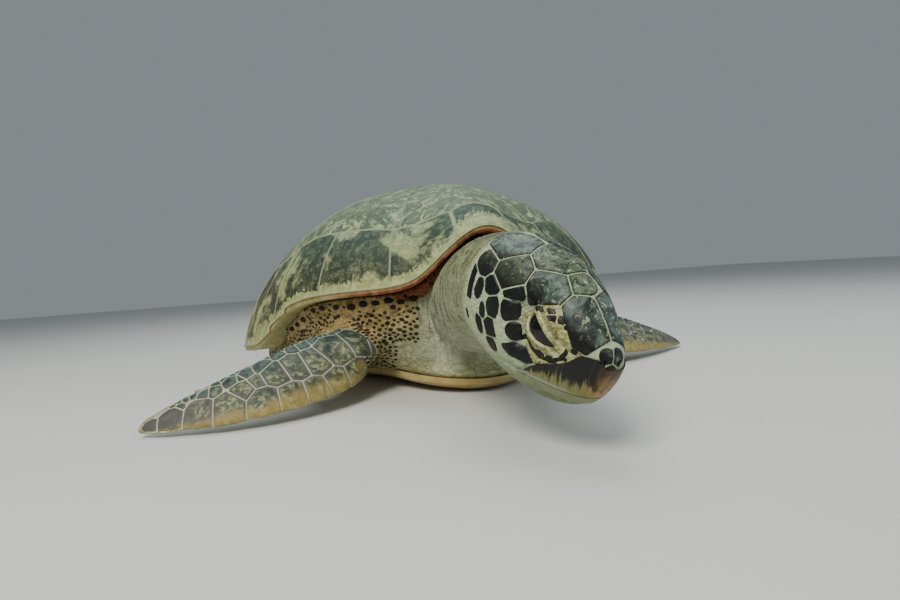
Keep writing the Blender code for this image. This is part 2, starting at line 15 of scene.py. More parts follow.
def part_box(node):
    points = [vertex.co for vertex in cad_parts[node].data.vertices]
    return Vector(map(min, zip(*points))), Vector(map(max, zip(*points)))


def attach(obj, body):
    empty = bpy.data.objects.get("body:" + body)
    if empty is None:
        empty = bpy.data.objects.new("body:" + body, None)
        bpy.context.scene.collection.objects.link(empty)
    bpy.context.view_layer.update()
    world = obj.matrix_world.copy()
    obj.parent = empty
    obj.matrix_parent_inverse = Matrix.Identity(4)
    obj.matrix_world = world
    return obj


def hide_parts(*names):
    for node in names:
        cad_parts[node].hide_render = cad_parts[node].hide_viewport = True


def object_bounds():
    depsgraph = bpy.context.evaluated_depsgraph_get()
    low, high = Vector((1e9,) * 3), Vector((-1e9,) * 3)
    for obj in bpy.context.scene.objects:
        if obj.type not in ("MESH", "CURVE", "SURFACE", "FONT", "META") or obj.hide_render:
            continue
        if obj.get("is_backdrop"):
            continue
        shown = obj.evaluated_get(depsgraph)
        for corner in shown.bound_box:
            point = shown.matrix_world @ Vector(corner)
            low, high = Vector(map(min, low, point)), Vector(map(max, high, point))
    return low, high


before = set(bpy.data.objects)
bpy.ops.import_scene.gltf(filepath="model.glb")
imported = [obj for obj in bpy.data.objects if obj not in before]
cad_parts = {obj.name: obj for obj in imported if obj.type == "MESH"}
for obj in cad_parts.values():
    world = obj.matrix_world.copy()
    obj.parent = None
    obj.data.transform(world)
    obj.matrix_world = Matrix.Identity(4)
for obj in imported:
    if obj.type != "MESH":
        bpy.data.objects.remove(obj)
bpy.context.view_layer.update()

# ------------------------------------------------------------------ skin
# Everything soft is one skin: head, jaw, neck, chest, limbs and tail. It is stretched over the
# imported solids, swollen so that they join, drawn into one sheet, then let back in by the depth
# of the scales that lie on it. Lids, nostrils, mouth corners and neck folds are pressed into it.
FLESH = ("trunk", "neck", "head", "lower_jaw", "front_upper_arm_left", "front_upper_arm_right",
         "front_flipper_left", "front_flipper_right", "hind_thigh_left", "hind_thigh_right",
         "hind_flipper_left", "hind_flipper_right", "tail")
UNDER_HORN = ("upper_beak", "lower_beak", "eye_left", "eye_right")
CHEST_PADS = ((0.010, 0.985), (0.026, 0.962))   # flesh that fills the hollow over the plastron
SKIN_CELL = 0.0038               # the mesh's size when the solids are drawn into one sheet
SKIN_SWELL = 0.0012              # how far they swell first, so that they join
SCALE_DEPTH = 0.0009             # how far the skin lies inside the solids, under its scales
HIDDEN_SHARE, HIDDEN_CORE = 0.84, 0.62   # how much of the shell's plan hides the flesh under it
THINNED_BY = 0.95                # how much of the hidden mesh goes
SHARP = radians(42)              # edges that turn more than this stay sharp
HEAD_LENGTH = 0.172
HEAD_PLACE = Matrix.Translation((0.004, -0.716, 0.086)) @ Euler(
    (radians(26.6), radians(5.8), radians(14.6)), "XYZ").to_matrix().to_4x4()
EYE_SIDE, EYE_BACK, EYE_UP = 0.144, 0.365, -0.002
EYE_RADIUS = 0.0210
FINE_ROUND_EYE = 0.20            # how far the finest mesh reaches, in head lengths
LID_SLANT = radians(26)          # how far the eye's front corner lies below its rear one
LID_LENGTH, LID_HEIGHT = 0.0208, 0.0068
LID_SHIFT = (0.0, 0.012, 0.0)    # the slit's middle from the globe's, in head lengths
LID_RIM, LID_RIM_UPPER = 0.0017, 0.0016   # how far the lids' edge stands out, and more above
LID_SINK = 0.0075                # how deep the slit is pressed in behind that edge
NOSTRIL = (0.048, 0.000, -0.002)  # to the side, back from the snout, up, in head lengths
NOSE_MIDDLE = -0.028             # the nose's own midline lies a little to its right
NOSTRIL_DEPTH, NOSTRIL_RADIUS = 0.0040, 0.0024
MOUTH_CORNER = ((0.380, -0.287), (0.430, -0.293), (0.520, -0.303), (0.570, -0.318))
MOUTH_DEPTH, MOUTH_RADIUS = 0.0016, 0.0018   # the groove back from the mouth's corner
FOLD_HEIGHT, FOLD_SINK = 0.0011, 0.0006      # the neck's folds and how far they lie in


def only(*things):
    """Selects these objects and nothing else."""
    bpy.ops.object.select_all(action="DESELECT")
    for thing in things:
        thing.select_set(True)
    bpy.context.view_layer.objects.active = things[0]


def apply_change(thing, kind, **settings):
    """Puts a modifier on an object and applies it."""
    only(thing)
    change = thing.modifiers.new(kind, kind)
    for key, value in settings.items():
        setattr(change, key, value)
    bpy.ops.object.modifier_apply(modifier=change.name)


def rounded_copy(node, levels=2, outer_above=None):
    """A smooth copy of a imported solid: cut edges stay sharp, the facets between them go.

    With outer_above, faces whose way out rises more than that are marked as its outer side.
    """
    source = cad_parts[node]
    made = source.copy()
    made.data = source.data.copy()
    made.parent = None
    made.name = "copy_" + node
    bpy.context.scene.collection.objects.link(made)
    bm = bmesh.new()
    bm.from_mesh(made.data)
    bmesh.ops.remove_doubles(bm, verts=bm.verts, dist=0.00004)
    bmesh.ops.join_triangles(bm, faces=bm.faces, angle_face_threshold=radians(35),
                             angle_shape_threshold=radians(50))
    layer = bm.edges.layers.float.new("crease_edge")
    for edge in bm.edges:
        if len(edge.link_faces) == 2 and edge.calc_face_angle(0) > SHARP:
            edge[layer] = 1.0
    if outer_above is not None:
        outer = bm.faces.layers.int.new("outer")
        bm.normal_update()
        for face in bm.faces:
            face[outer] = int(face.normal.z > outer_above)
        for edge in bm.edges:
            if len({face[outer] for face in edge.link_faces}) == 2:
                edge[layer] = 1.0
    bm.to_mesh(made.data)
    bm.free()
    made.data.materials.clear()
    apply_change(made, "SUBSURF", levels=levels, render_levels=levels)
    return made


def push_out(thing, by):
    apply_change(thing, "DISPLACE", strength=by, mid_level=0.0)


def read_mesh(items, key):
    """One triple of numbers for each vertex or face, as an array."""
    found = np.empty(len(items) * 3, dtype=np.float32)
    items.foreach_get(key, found)
    return found.reshape(-1, 3).astype(np.float64)


def places_of(thing):
    return read_mesh(thing.data.vertices, "co")


def put_places(thing, places):
    thing.data.vertices.foreach_set("co", places.astype(np.float32).ravel())
    thing.data.update()


def ease(low, high, value):
    """0 below low, 1 above high, smooth between; low may be the larger."""
    share = np.clip((value - low) / (high - low), 0.0, 1.0)
    return share * share * (3 - 2 * share)


def ripple(places, size, seed):
    """A cheap smooth noise over places, from -1 to 1."""
    p = places / size + seed
    wave = np.sin(p[:, 0] * 1.3 + 2.1 * np.sin(p[:, 1] * 0.9 + seed)) \
        + np.sin(p[:, 1] * 1.7 + 1.9 * np.sin(p[:, 2] * 1.1 + 2 * seed)) \
        + np.sin(p[:, 2] * 1.5 + 2.3 * np.sin(p[:, 0] * 0.8 + 3 * seed))
    return wave / 3


def refine(thing, chosen):
    """Splits the chosen faces once."""
    only(thing)
    bpy.ops.object.mode_set(mode="EDIT")
    bpy.ops.mesh.select_mode(type="FACE")
    bpy.ops.mesh.select_all(action="DESELECT")
    bpy.ops.object.mode_set(mode="OBJECT")
    thing.data.polygons.foreach_set("select", [bool(wanted) for wanted in chosen])
    bpy.ops.object.mode_set(mode="EDIT")
    bpy.ops.mesh.subdivide(number_cuts=1, smoothness=0.0)
    bpy.ops.object.mode_set(mode="OBJECT")


HEAD_TURN = np.array(HEAD_PLACE.to_3x3())
HEAD_TIP = np.array(HEAD_PLACE.translation)


def in_head(places):
    """World places in the head's own frame, in head lengths: left, back, up."""
    return (places - HEAD_TIP) @ HEAD_TURN / HEAD_LENGTH


def from_head(places):
    return np.asarray(places) * HEAD_LENGTH @ HEAD_TURN.T + HEAD_TIP


copies = [rounded_copy(node) for node in FLESH + UNDER_HORN]
for lift, size in CHEST_PADS:
    copy = rounded_copy("plastron")
    copy.data.transform(Matrix.Translation((0, 0, lift)) @ Matrix.Diagonal((size, size, 1, 1)))
    copies.append(copy)
for copy in copies:
    push_out(copy, SKIN_SWELL)
only(*copies)
bpy.ops.object.join()
skin = bpy.context.active_object
skin.name = "turtle_skin"
apply_change(skin, "REMESH", mode="VOXEL", voxel_size=SKIN_CELL, adaptivity=0.0)
apply_change(skin, "SMOOTH", factor=0.5, iterations=7)
push_out(skin, -SKIN_SWELL - SCALE_DEPTH)

# Flesh that the shell hides is thinned, the head is made finer, and the eyes' surround finer still.
places = places_of(skin)
shell_low, shell_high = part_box("carapace")
shell_reach = np.hypot(places[:, 0] / shell_high[0],
                       places[:, 1] / np.where(places[:, 1] < 0, -shell_low[1], shell_high[1]))
unseen = (shell_reach < HIDDEN_SHARE) & (places[:, 1] > -0.30)
unseen &= (places[:, 2] > 0.11) | (places[:, 2] < 0.035) | (shell_reach < HIDDEN_CORE)
thinned = skin.vertex_groups.new(name="thinned")
thinned.add([int(index) for index in np.nonzero(unseen)[0]], 1.0, "REPLACE")
apply_change(skin, "DECIMATE", ratio=1 - THINNED_BY * float(unseen.mean()), vertex_group="thinned")
skin.vertex_groups.clear()
head_place = in_head(read_mesh(skin.data.polygons, "center"))
refine(skin, (head_place[:, 1] < 0.98) & (head_place[:, 1] > -0.2) & (np.abs(head_place[:, 0]) < 0.6))
for side in (-1, 1):
    eye_place = np.array((side * EYE_SIDE, EYE_BACK, EYE_UP))
    off = in_head(read_mesh(skin.data.polygons, "center")) - eye_place
    near = (np.linalg.norm(off, axis=1) < FINE_ROUND_EYE) & (off[:, 0] * side > 0.0)
    refine(skin, near)
apply_change(skin, "SMOOTH", factor=0.5, iterations=2)


def square_to(way, guide):
    """The part of guide that lies in the surface whose outward way is given, one long."""
    flat = np.asarray(guide, dtype=float) - way * np.dot(guide, way)
    return flat / np.linalg.norm(flat)


def eye_frame(side):
    """Centre of an eye, its outward axis, the line of the lids and the way across them."""
    centre = from_head((side * EYE_SIDE, EYE_BACK, EYE_UP))
    out = HEAD_TURN @ np.array((side * 0.95, -0.10, 0.06))
    out /= np.linalg.norm(out)
    slant = square_to(out, HEAD_TURN @ np.array((0.0, -cos(LID_SLANT), -sin(LID_SLANT))))
    across = square_to(out, HEAD_TURN @ np.array((0.0, -sin(LID_SLANT), cos(LID_SLANT))))
    return centre, out, slant, square_to(slant, across)


places = places_of(skin)
lid_measure = np.full(len(places), 9.0)
lid_upper = np.zeros(len(places))
nostrils = []
for side in (-1, 1):
    centre, out, slant, across = eye_frame(side)
    off = places - centre
    far = np.linalg.norm(off, axis=1)
    unit = off / far[:, None]
    facing = unit @ out
    shift = HEAD_TURN @ (np.array(LID_SHIFT) * HEAD_LENGTH)
    along = unit @ slant * EYE_RADIUS - shift @ slant
    over = unit @ across * EYE_RADIUS - shift @ across
    taper = np.clip(1 - 0.20 * (along / LID_LENGTH) ** 2, 0.35, 1)
    measure = np.sqrt((along / LID_LENGTH) ** 2 + (over / (LID_HEIGHT * taper)) ** 2)
    upper = ease(-0.3, 0.5, over / LID_HEIGHT)
    thickness = LID_RIM + LID_RIM_UPPER * upper
    bulge = thickness * np.exp(-((measure - 1.55) / 0.55) ** 2) + 0.0010
    fold = 0.00035 * np.sin(measure * 17.0) * ease(1.15, 1.4, measure) * ease(2.5, 2.0, measure)
    lid_radius = EYE_RADIUS + bulge + fold
    radius = lid_radius - LID_SINK * ease(1.12, 0.86, measure)
    spread = np.hypot(along, over)
    near = (facing > 0.05) & (far < 2.2 * EYE_RADIUS)
    weight = ease(0.0225, 0.0165, spread) * ease(0.05, 0.25, facing) * near
    weight = np.maximum(weight, ease(1.15, 0.95, measure) * near)
    target = centre + unit * radius[:, None]
    places = places + (target - places) * weight[:, None]
    lid_measure = np.where(near, np.minimum(lid_measure, measure), lid_measure)
    lid_upper = np.where(near, ease(-0.001, 0.002, over), lid_upper)
    nostril = from_head((side * NOSTRIL[0] + NOSE_MIDDLE, NOSTRIL[1], NOSTRIL[2]))
    nostril = places[np.argmin(np.linalg.norm(places - nostril, axis=1))].copy()
    nostrils.append(nostril)
    away = np.linalg.norm(places - nostril, axis=1)
    inward = HEAD_TURN @ np.array((-side * 0.35, 0.93, 0.0))
    places += inward * (NOSTRIL_DEPTH * np.exp(-(away / NOSTRIL_RADIUS) ** 2))[:, None]
local = in_head(places)
push = np.zeros(len(places))
for (back_a, up_a), (back_b, up_b) in zip(MOUTH_CORNER, MOUTH_CORNER[1:]):
    share = np.clip((local[:, 1] - back_a) / (back_b - back_a), 0, 1)
    away = np.hypot(local[:, 1] - (back_a + share * (back_b - back_a)),
                    local[:, 2] - (up_a + share * (up_b - up_a))) * HEAD_LENGTH
    push = np.maximum(push, np.exp(-(away / MOUTH_RADIUS) ** 2))
put_places(skin, places)
on_jaw = np.abs(local[:, 0]) > 0.12
places = places - read_mesh(skin.data.vertex_normals, "vector") * (MOUTH_DEPTH * push * on_jaw)[:, None]

# Folds round the neck: coarse waves that break up along their length, with finer ones between.
run = local[:, 1] + 0.10 * np.sin(local[:, 2] * 5) + 0.03 * np.sin(local[:, 0] * 9)
on_neck = ease(0.99, 1.10, local[:, 1]) * ease(2.30, 1.85, local[:, 1])
on_neck *= ease(0.7, 0.6, np.abs(local[:, 0]))
on_neck *= places[:, 2] > 0.06
fold = np.sin(run * 46 + 2.2 * ripple(places, 0.035, 1.0)) * (0.55 + 0.45 * ripple(places, 0.05, 4.0))
fold += 0.5 * np.sin(run * 97 + 3.0 * ripple(places, 0.02, 2.0))
put_places(skin, places)
fold = FOLD_HEIGHT * fold * on_neck - FOLD_SINK * on_neck
places = places + read_mesh(skin.data.vertex_normals, "vector") * fold[:, None]
put_places(skin, places)

# ------------------------------------------------------------------ scales of the head
# Horny shields lie edge to edge over the crown, the temples and behind the eyes, with a pale
# line of skin showing between them. Each is a thin closed plate cut to the skin's own curve and
# sunk a little at its border. The shields of the left side answer those of the right.
LINE_WIDTH, BEVEL = 0.0009, 0.0009
SHIELD_RISE, SHIELD_FOOT, SHIELD_THICK = 0.0008, -0.0004, 0.0009   # middle, border, thickness
# back, side and up in head lengths, then half length, half width and the long way's turn
SHIELDS_RIGHT = (
    (0.82, -0.19, 0.29, 0.150, 0.120, 0), (0.85, -0.32, 0.16, 0.080, 0.066, 0),
    (0.66, -0.28, 0.20, 0.125, 0.108, 0), (0.44, -0.20, 0.20, 0.130, 0.106, 0),
    (0.190, -0.12, 0.13, 0.180, 0.104, -14), (0.57, -0.30, 0.11, 0.056, 0.050, 0),
    (0.72, -0.34, 0.07, 0.055, 0.045, 0), (0.82, -0.355, 0.01, 0.052, 0.034, 80),
    (0.66, -0.34, -0.03, 0.060, 0.042, 75), (0.53, -0.31, 0.01, 0.062, 0.048, 75),
    (0.475, -0.29, -0.095, 0.046, 0.042, 0), (0.425, -0.27, -0.185, 0.086, 0.034, -8),
    (0.73, -0.35, -0.095, 0.042, 0.022, 70), (0.645, -0.34, -0.155, 0.082, 0.034, 62),
    (0.74, -0.335, -0.185, 0.050, 0.026, 60), (0.615, -0.315, -0.245, 0.044, 0.028, 40),
    (0.90, -0.32, -0.20, 0.026, 0.012, 60),
    (0.915, -0.345, 0.02, 0.130, 0.024, 80), (0.005, -0.062, 0.026, 0.042, 0.034, 0))
SHIELDS_MIDDLE = ((0.57, -0.07, 0.31, 0.150, 0.135, 0), (0.375, -0.048, 0.27, 0.078, 0.074, 0),
                  (-0.020, -0.030, -0.016, 0.026, 0.022, 0))
LID_SHIELDS = ((0.395, -0.245, 0.092, 0.038, 0.017, 0), (0.335, -0.215, 0.115, 0.036, 0.018, 0),
               (0.315, -0.215, 0.082, 0.032, 0.022, 20), (0.27, -0.19, 0.098, 0.030, 0.022, 0),
               (0.31, -0.23, -0.13, 0.048, 0.018, 0), (0.25, -0.205, -0.12, 0.042, 0.016, 0),
               (0.19, -0.175, -0.085, 0.026, 0.014, 0), (0.15, -0.16, -0.01, 0.020, 0.018, 0),
               (0.235, -0.175, 0.075, 0.016, 0.016, 0))
EYE_ROOM = 0.156                 # the lids' own ground, where no shield reaches


def finder_of(places):
    """A finder of the nearest of some places."""
    finder = KDTree(max(len(places), 1))
    for number, place in enumerate(places):
        finder.insert(place, number)
    finder.balance()
    return finder


def surface_of(thing):
    """A surface scales are cut from: places, corners, middles, ways out and a finder."""
    thing.data.update()
    middles = read_mesh(thing.data.polygons, "center")
    return {"places": places_of(thing), "middles": middles, "finder": finder_of(middles),
            "ways": read_mesh(thing.data.polygons, "normal"),
            "corners": [tuple(face.vertices) for face in thing.data.polygons],
            "under": np.zeros(len(thing.data.vertices)), "open": np.ones(len(middles), dtype=bool)}


def new_coat():
    return {"places": [], "faces": [], "maps": [], "inside": [], "tone": [], "kind": [], "root": []}


def rim_planes(seed, way, ahead, long, short, turn, sides):
    """Planes round a seed that trim it to a rounded many-sided shape."""
    across = np.cross(way, ahead)
    first = ahead * cos(turn) + across * sin(turn)
    second = np.cross(way, first)
    planes = []
    for step in range(sides):
        angle = 2 * pi * (step + 0.5) / sides
        reach = sqrt((long * cos(angle)) ** 2 + (short * sin(angle)) ** 2)
        out = first * cos(angle) + second * sin(angle)
        planes.append((seed + out * reach, out))
    return planes


def slice_patch(patch, place, out, **how):
    return bmesh.ops.bisect_plane(patch, geom=patch.verts[:] + patch.edges[:] + patch.faces[:],
                                  dist=1e-6, plane_co=place, plane_no=out, **how)


def cut_patch(surface, seed, way, reach, planes, facing):
    """The patch of a surface about a seed, trimmed by planes, and the host's share in it."""
    found = np.array([index for _, index, _ in surface["finder"].find_range(seed, reach)], dtype=int)
    if len(found) == 0:
        return None, [], None
    found = found[(surface["ways"][found] @ way > facing) & surface["open"][found]]
    patch = bmesh.new()
    made = {}
    for index in found:
        for corner in surface["corners"][index]:
            if corner not in made:
                made[corner] = patch.verts.new(surface["places"][corner])
        patch.faces.new([made[corner] for corner in surface["corners"][index]])
    hosts = np.array(list(made), dtype=int)
    used = []
    for place, out in planes:
        if slice_patch(patch, place, out, clear_outer=True)["geom_cut"]:
            used.append((np.array(place), np.array(out)))
    return patch, used, hosts


def keep_island(patch, seed):
    """Drops all faces that aren't joined to the one nearest the seed."""
    patch.faces.ensure_lookup_table()
    if not patch.faces:
        return False
    target = Vector(seed)
    first = min(patch.faces, key=lambda face: (face.calc_center_median() - target).length_squared)
    kept, waiting = {first}, [first]
    while waiting:
        face = waiting.pop()
        for edge in face.edges:
            for other in edge.link_faces:
                if other not in kept:
                    kept.add(other)
                    waiting.append(other)
    lost = [face for face in patch.faces if face not in kept]
    if lost:
        bmesh.ops.delete(patch, geom=lost, context="FACES")
    return len(patch.faces) > 0


def add_plate(coat, surface, seed, way, reach, planes, unwrap, tone, kind,
              rise=SHIELD_RISE, foot=SHIELD_FOOT, thick=SHIELD_THICK, bevel=BEVEL, facing=0.15,
              solid=False, root=None):
    """Cuts one plate out of a surface, raises it, closes its underside and adds it to a coat."""
    patch, used, hosts = cut_patch(surface, seed, way, reach, planes, facing)
    if patch is None or not used or not keep_island(patch, seed) or len(patch.faces) < 3:
        if patch is not None:
            patch.free()
        return
    for place, out in used:
        slice_patch(patch, place - out * bevel, out)
    under = np.min([(place - surface["places"][hosts]) @ out for place, out in used], axis=0)
    near = np.linalg.norm(surface["places"][hosts] - seed, axis=1) < reach
    surface["under"][hosts] = np.maximum(surface["under"][hosts],
                                         ease(0.0004, 0.0012, under) * near)
    patch.normal_update()
    tops = patch.verts[:]
    places = np.array([vert.co for vert in tops])
    inside = np.min([(place - places) @ out for place, out in used], axis=0)
    height = foot + (rise - foot) * np.sqrt(np.clip(inside / bevel, 0, 1))
    maps = {}
    depth = {}
    for vert, place, lift, far in zip(tops, places, height, inside):
        maps[vert] = unwrap(place)
        depth[vert] = float(far)
        vert.co = vert.co + vert.normal * float(lift)
    if solid:
        made = bmesh.ops.extrude_face_region(patch, geom=patch.faces[:], use_keep_orig=True)["geom"]
    else:
        skirt = [edge for edge in patch.edges if edge.is_boundary]
        made = bmesh.ops.extrude_edge_only(patch, edges=skirt)["geom"]
    low = [item for item in made if isinstance(item, bmesh.types.BMVert)]
    low_set = set(low)
    for vert in low:
        partner = next((edge.other_vert(vert) for edge in vert.link_edges
                        if edge.other_vert(vert) not in low_set), None)
        maps[vert] = maps[partner] if partner else unwrap(seed)
        depth[vert] = 0.0
        down = partner.normal if solid and partner else Vector(way)
        vert.co = vert.co - (vert.normal if solid and not partner else down) * thick
    if solid:
        floor_faces = {item for item in made if isinstance(item, bmesh.types.BMFace)}
    else:
        middle = patch.verts.new(Vector(seed) - Vector(way) * thick * 1.6)
        maps[middle] = unwrap(seed)
        depth[middle] = 0.0
        floor_faces = {patch.faces.new((edge.verts[0], edge.verts[1], middle)) for edge in made
                       if isinstance(edge, bmesh.types.BMEdge) and edge.is_boundary}
    bmesh.ops.recalc_face_normals(patch, faces=patch.faces[:])
    start = len(coat["places"])
    for number, vert in enumerate(patch.verts):
        vert.index = number
        coat["places"].append(tuple(vert.co))
        coat["inside"].append(depth[vert] * 1000)
        coat["tone"].append(tone)
        coat["kind"].append(kind)
        coat["root"].append(tuple(seed if root is None else root))
    for face in patch.faces:
        coat["faces"].append([start + vert.index for vert in face.verts])
        if face in floor_faces:
            coat["maps"].extend([unwrap(seed)] * len(face.verts))
        else:
            coat["maps"].extend(maps[vert] for vert in face.verts)
    patch.free()


def mark(mesh, name, values):
    """Writes one number for each vertex, for a material to read."""
    mesh.attributes.new(name, "FLOAT", "POINT").data.foreach_set(
        "value", np.asarray(values, dtype=np.float32))


def finish_coat(coat, name):
    """Turns a gathered coat into an object with its map and its markings."""
    mesh = bpy.data.meshes.new(name)
    mesh.from_pydata(coat["places"], [], coat["faces"])
    layer = mesh.uv_layers.new(name="OFBake")
    layer.data.foreach_set("uv", np.array(coat["maps"], dtype=np.float32).ravel())
    for key in ("inside", "tone", "kind"):
        mark(mesh, key, coat[key])
    mesh.attributes.new("root", "FLOAT_VECTOR", "POINT").data.foreach_set(
        "vector", np.array(coat["root"], dtype=np.float32).ravel())
    mesh.update()
    piece = bpy.data.objects.new(name, mesh)
    bpy.context.scene.collection.objects.link(piece)
    only(piece)
    bpy.ops.object.shade_smooth()
    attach(piece, "root")
    return piece


def add_cells(coat, surface, seeds, unwrap, gap=LINE_WIDTH, crowd=1.3, sides=14, parting=None,
              **how):
    """Plates for seeds that share their ground: each neighbour's plane parts them by the gap.

    A seed holds its place, way out, ahead way, half length, half width, turn, tone and kind;
    a seed whose kind is None only holds ground free. Parting gives further planes at a place.
    """
    for number, seed in enumerate(seeds):
        place, way, ahead, long, short, turn, tone, kind = seed
        if kind is None:
            continue
        size = sqrt(long * short)
        planes = []
        for other_number, other in enumerate(seeds):
            away = other[0] - place
            far = np.linalg.norm(away)
            beyond = crowd * (max(long, short) + max(other[3], other[4])) + 0.004
            if other_number == number or far > beyond or far < 1e-5 or way @ other[1] < -0.2:
                continue
            other_size = sqrt(other[3] * other[4])
            share = (far * far + size * size - other_size * other_size) / (2 * far)
            out = away / far
            planes.append((place + out * (share - gap / 2), out))
        planes += rim_planes(place, way, ahead, long * crowd, short * crowd, turn, sides)
        if parting:
            planes += parting(place)
        add_plate(coat, surface, place, way, crowd * max(long, short) * 1.15 + 0.006,
                  planes, unwrap, tone, kind, **how)


surface = surface_of(skin)
chance = np.random.default_rng(7)


def head_seed(back, side, up, long, short, turn, kind):
    """A seed for one shield, on the skin nearest to a place given in head lengths."""
    _, index, _ = surface["finder"].find(from_head((side, back, up)))
    place = surface["middles"][index].copy()
    near = [index for _, index, _ in surface["finder"].find_range(place, 0.006)]
    way = surface["ways"][near].mean(axis=0)
    way /= np.linalg.norm(way)
    ahead = square_to(way, HEAD_TURN @ np.array((0.0, -1.0, 0.0)))
    return (place, way, ahead, long * HEAD_LENGTH, short * HEAD_LENGTH, radians(turn),
            float(chance.random()), kind)


def to_left(back, side):
    """Where a shield of the right side has its fellow: the crown's seam lies off the middle."""
    seam = -0.030 - 0.035 * back
    return -side + 2 * seam * float(ease(0.30, 0.05, -side))


def head_map(place):
    side, back, up = in_head(place)
    return 0.5 + np.arctan2(side, up) / (2 * pi), 0.05 + 0.8 * back


head_seeds = [head_seed(*shield, 0.0) for shield in SHIELDS_MIDDLE]
for back, side, up, long, short, turn in SHIELDS_RIGHT:
    head_seeds.append(head_seed(back, side, up, long, short, -turn, 0.0))
    head_seeds.append(head_seed(back, to_left(back, side), up, long, short, turn, 0.0))
for side in (-1, 1):
    head_seeds.append(head_seed(0.325, side * 0.22, -0.01, EYE_ROOM, EYE_ROOM, 0, None))
head_coat = new_coat()
add_cells(head_coat, surface, head_seeds, head_map)
lid_seeds = []
for back, side, up, long, short, turn in LID_SHIELDS:
    lid_seeds.append(head_seed(back, side, up, long, short, turn, 1.0))
    lid_seeds.append(head_seed(back, -side, up, long, short, -turn, 1.0))
add_cells(head_coat, surface, lid_seeds, head_map, gap=0.0006, crowd=1.0, sides=8, rise=0.0005)
head_scales = finish_coat(head_coat, "head_scales")


def finish_paint(paint, colour, rough, shine, *things):
    """Sets a material's colour, how rough and how shiny it is, and puts it on its pieces."""
    shader = paint.node_tree.nodes["Principled BSDF"]
    paint.node_tree.links.new(colour, shader.inputs["Base Color"])
    shader.inputs["Roughness"].default_value = rough
    shader.inputs["Specular IOR Level"].default_value = shine
    for thing in things:
        thing.data.materials.append(paint)


def add_node(tree, kind, inputs=None, **settings):
    """One node: inputs are values or the sockets that feed them."""
    made = tree.nodes.new(kind)
    for key, value in settings.items():
        setattr(made, key, value)
    for key, value in (inputs or {}).items():
        if isinstance(value, bpy.types.NodeSocket):
            tree.links.new(value, made.inputs[key])
        else:
            made.inputs[key].default_value = value
    return made


def read_value(tree, name):
    return add_node(tree, "ShaderNodeAttribute", attribute_name=name).outputs["Fac"]


def new_paint(name):
    """A node-built material, its tree and the places on the object it colours."""
    paint = bpy.data.materials.new(name)
    paint.use_nodes = True
    place = add_node(paint.node_tree, "ShaderNodeTexCoord").outputs["Object"]
    return paint, paint.node_tree, place


def reckon(tree, what, first, second=0.0, third=0.0):
    inputs = {0: first, 1: second, 2: third}
    return add_node(tree, "ShaderNodeMath", inputs, operation=what).outputs[0]


def times(tree, first, second):
    return reckon(tree, "MULTIPLY", first, second)


def plus(tree, first, second):
    return reckon(tree, "ADD", first, second)


def scaled(tree, value, by, start):
    return reckon(tree, "MULTIPLY_ADD", value, by, start)


def vector_reckon(tree, what, first, second=(0.0, 0.0, 0.0)):
    made = add_node(tree, "ShaderNodeVectorMath", {0: first, 1: second}, operation=what)
    return made.outputs["Value" if what in ("LENGTH", "DISTANCE") else "Vector"]


def axes(tree, vector):
    return add_node(tree, "ShaderNodeSeparateXYZ", {0: vector}).outputs


def between(tree, value, low, high):
    """0 at low, 1 at high, smooth between."""
    inputs = {"Value": value, "From Min": low, "From Max": high}
    return add_node(tree, "ShaderNodeMapRange", inputs, interpolation_type="SMOOTHSTEP").outputs[0]


def noise(tree, vector, scale, detail=4.0, rough=0.55, bend=0.0):
    inputs = {"Vector": vector, "Scale": scale, "Detail": detail, "Roughness": rough,
              "Distortion": bend}
    return add_node(tree, "ShaderNodeTexNoise", inputs).outputs["Fac"]


def blend(tree, share, first, second):
    """A colour that goes from first to second by share."""
    first, second = (colour if isinstance(colour, bpy.types.NodeSocket) else (*colour, 1.0)
                     for colour in (first, second))
    return add_node(tree, "ShaderNodeMix", {0: share, 6: first, 7: second},
                    data_type="RGBA").outputs[2]


def new_group(name, inputs, output, kind):
    """An empty group, what it is given and its result. Inputs are label, socket kind and value."""
    group = bpy.data.node_groups.new(name, "ShaderNodeTree")
    for label, socket_kind, value in inputs:
        made = group.interface.new_socket(label, in_out="INPUT", socket_type=socket_kind)
        if value is not None:
            made.default_value = value
    group.interface.new_socket(output, in_out="OUTPUT", socket_type=kind)
    given, result = group.nodes.new("NodeGroupInput"), group.nodes.new("NodeGroupOutput")
    return group, given.outputs, result.inputs[0]


def place_group(tree, group, inputs):
    return add_node(tree, "ShaderNodeGroup", inputs, node_tree=group).outputs[0]


# Cloudy patches: a ragged mask that covers about the given share of a surface.
mottle, given, result = new_group("Ragged patches", (
    ("Vector", "NodeSocketVector", None), ("Scale", "NodeSocketFloat", 30.0),
    ("Cover", "NodeSocketFloat", 0.5), ("Softness", "NodeSocketFloat", 0.06)), "Mask", "NodeSocketFloat")
cloud = noise(mottle, given["Vector"], given["Scale"], 7.0, 0.66, 0.7)
level = scaled(mottle, given["Cover"], -0.42, 0.71)
low = reckon(mottle, "SUBTRACT", level, given["Softness"])
high = plus(mottle, level, given["Softness"])
mottle.links.new(between(mottle, cloud, low, high), result)


def patches(tree, vector, scale, cover, softness):
    return place_group(tree, mottle, {"Vector": vector, "Scale": scale, "Cover": cover,
                                      "Softness": softness})


def bumpy(tree, height, distance, strength, before=None):
    """Presses a height into a material's surface, on top of an earlier one if there is one."""
    inputs = {"Height": height, "Distance": distance, "Strength": strength}
    if before is not None:
        inputs["Normal"] = before
    made = add_node(tree, "ShaderNodeBump", inputs)
    tree.links.new(made.outputs[0], tree.nodes["Principled BSDF"].inputs["Normal"])
    return made.outputs[0]


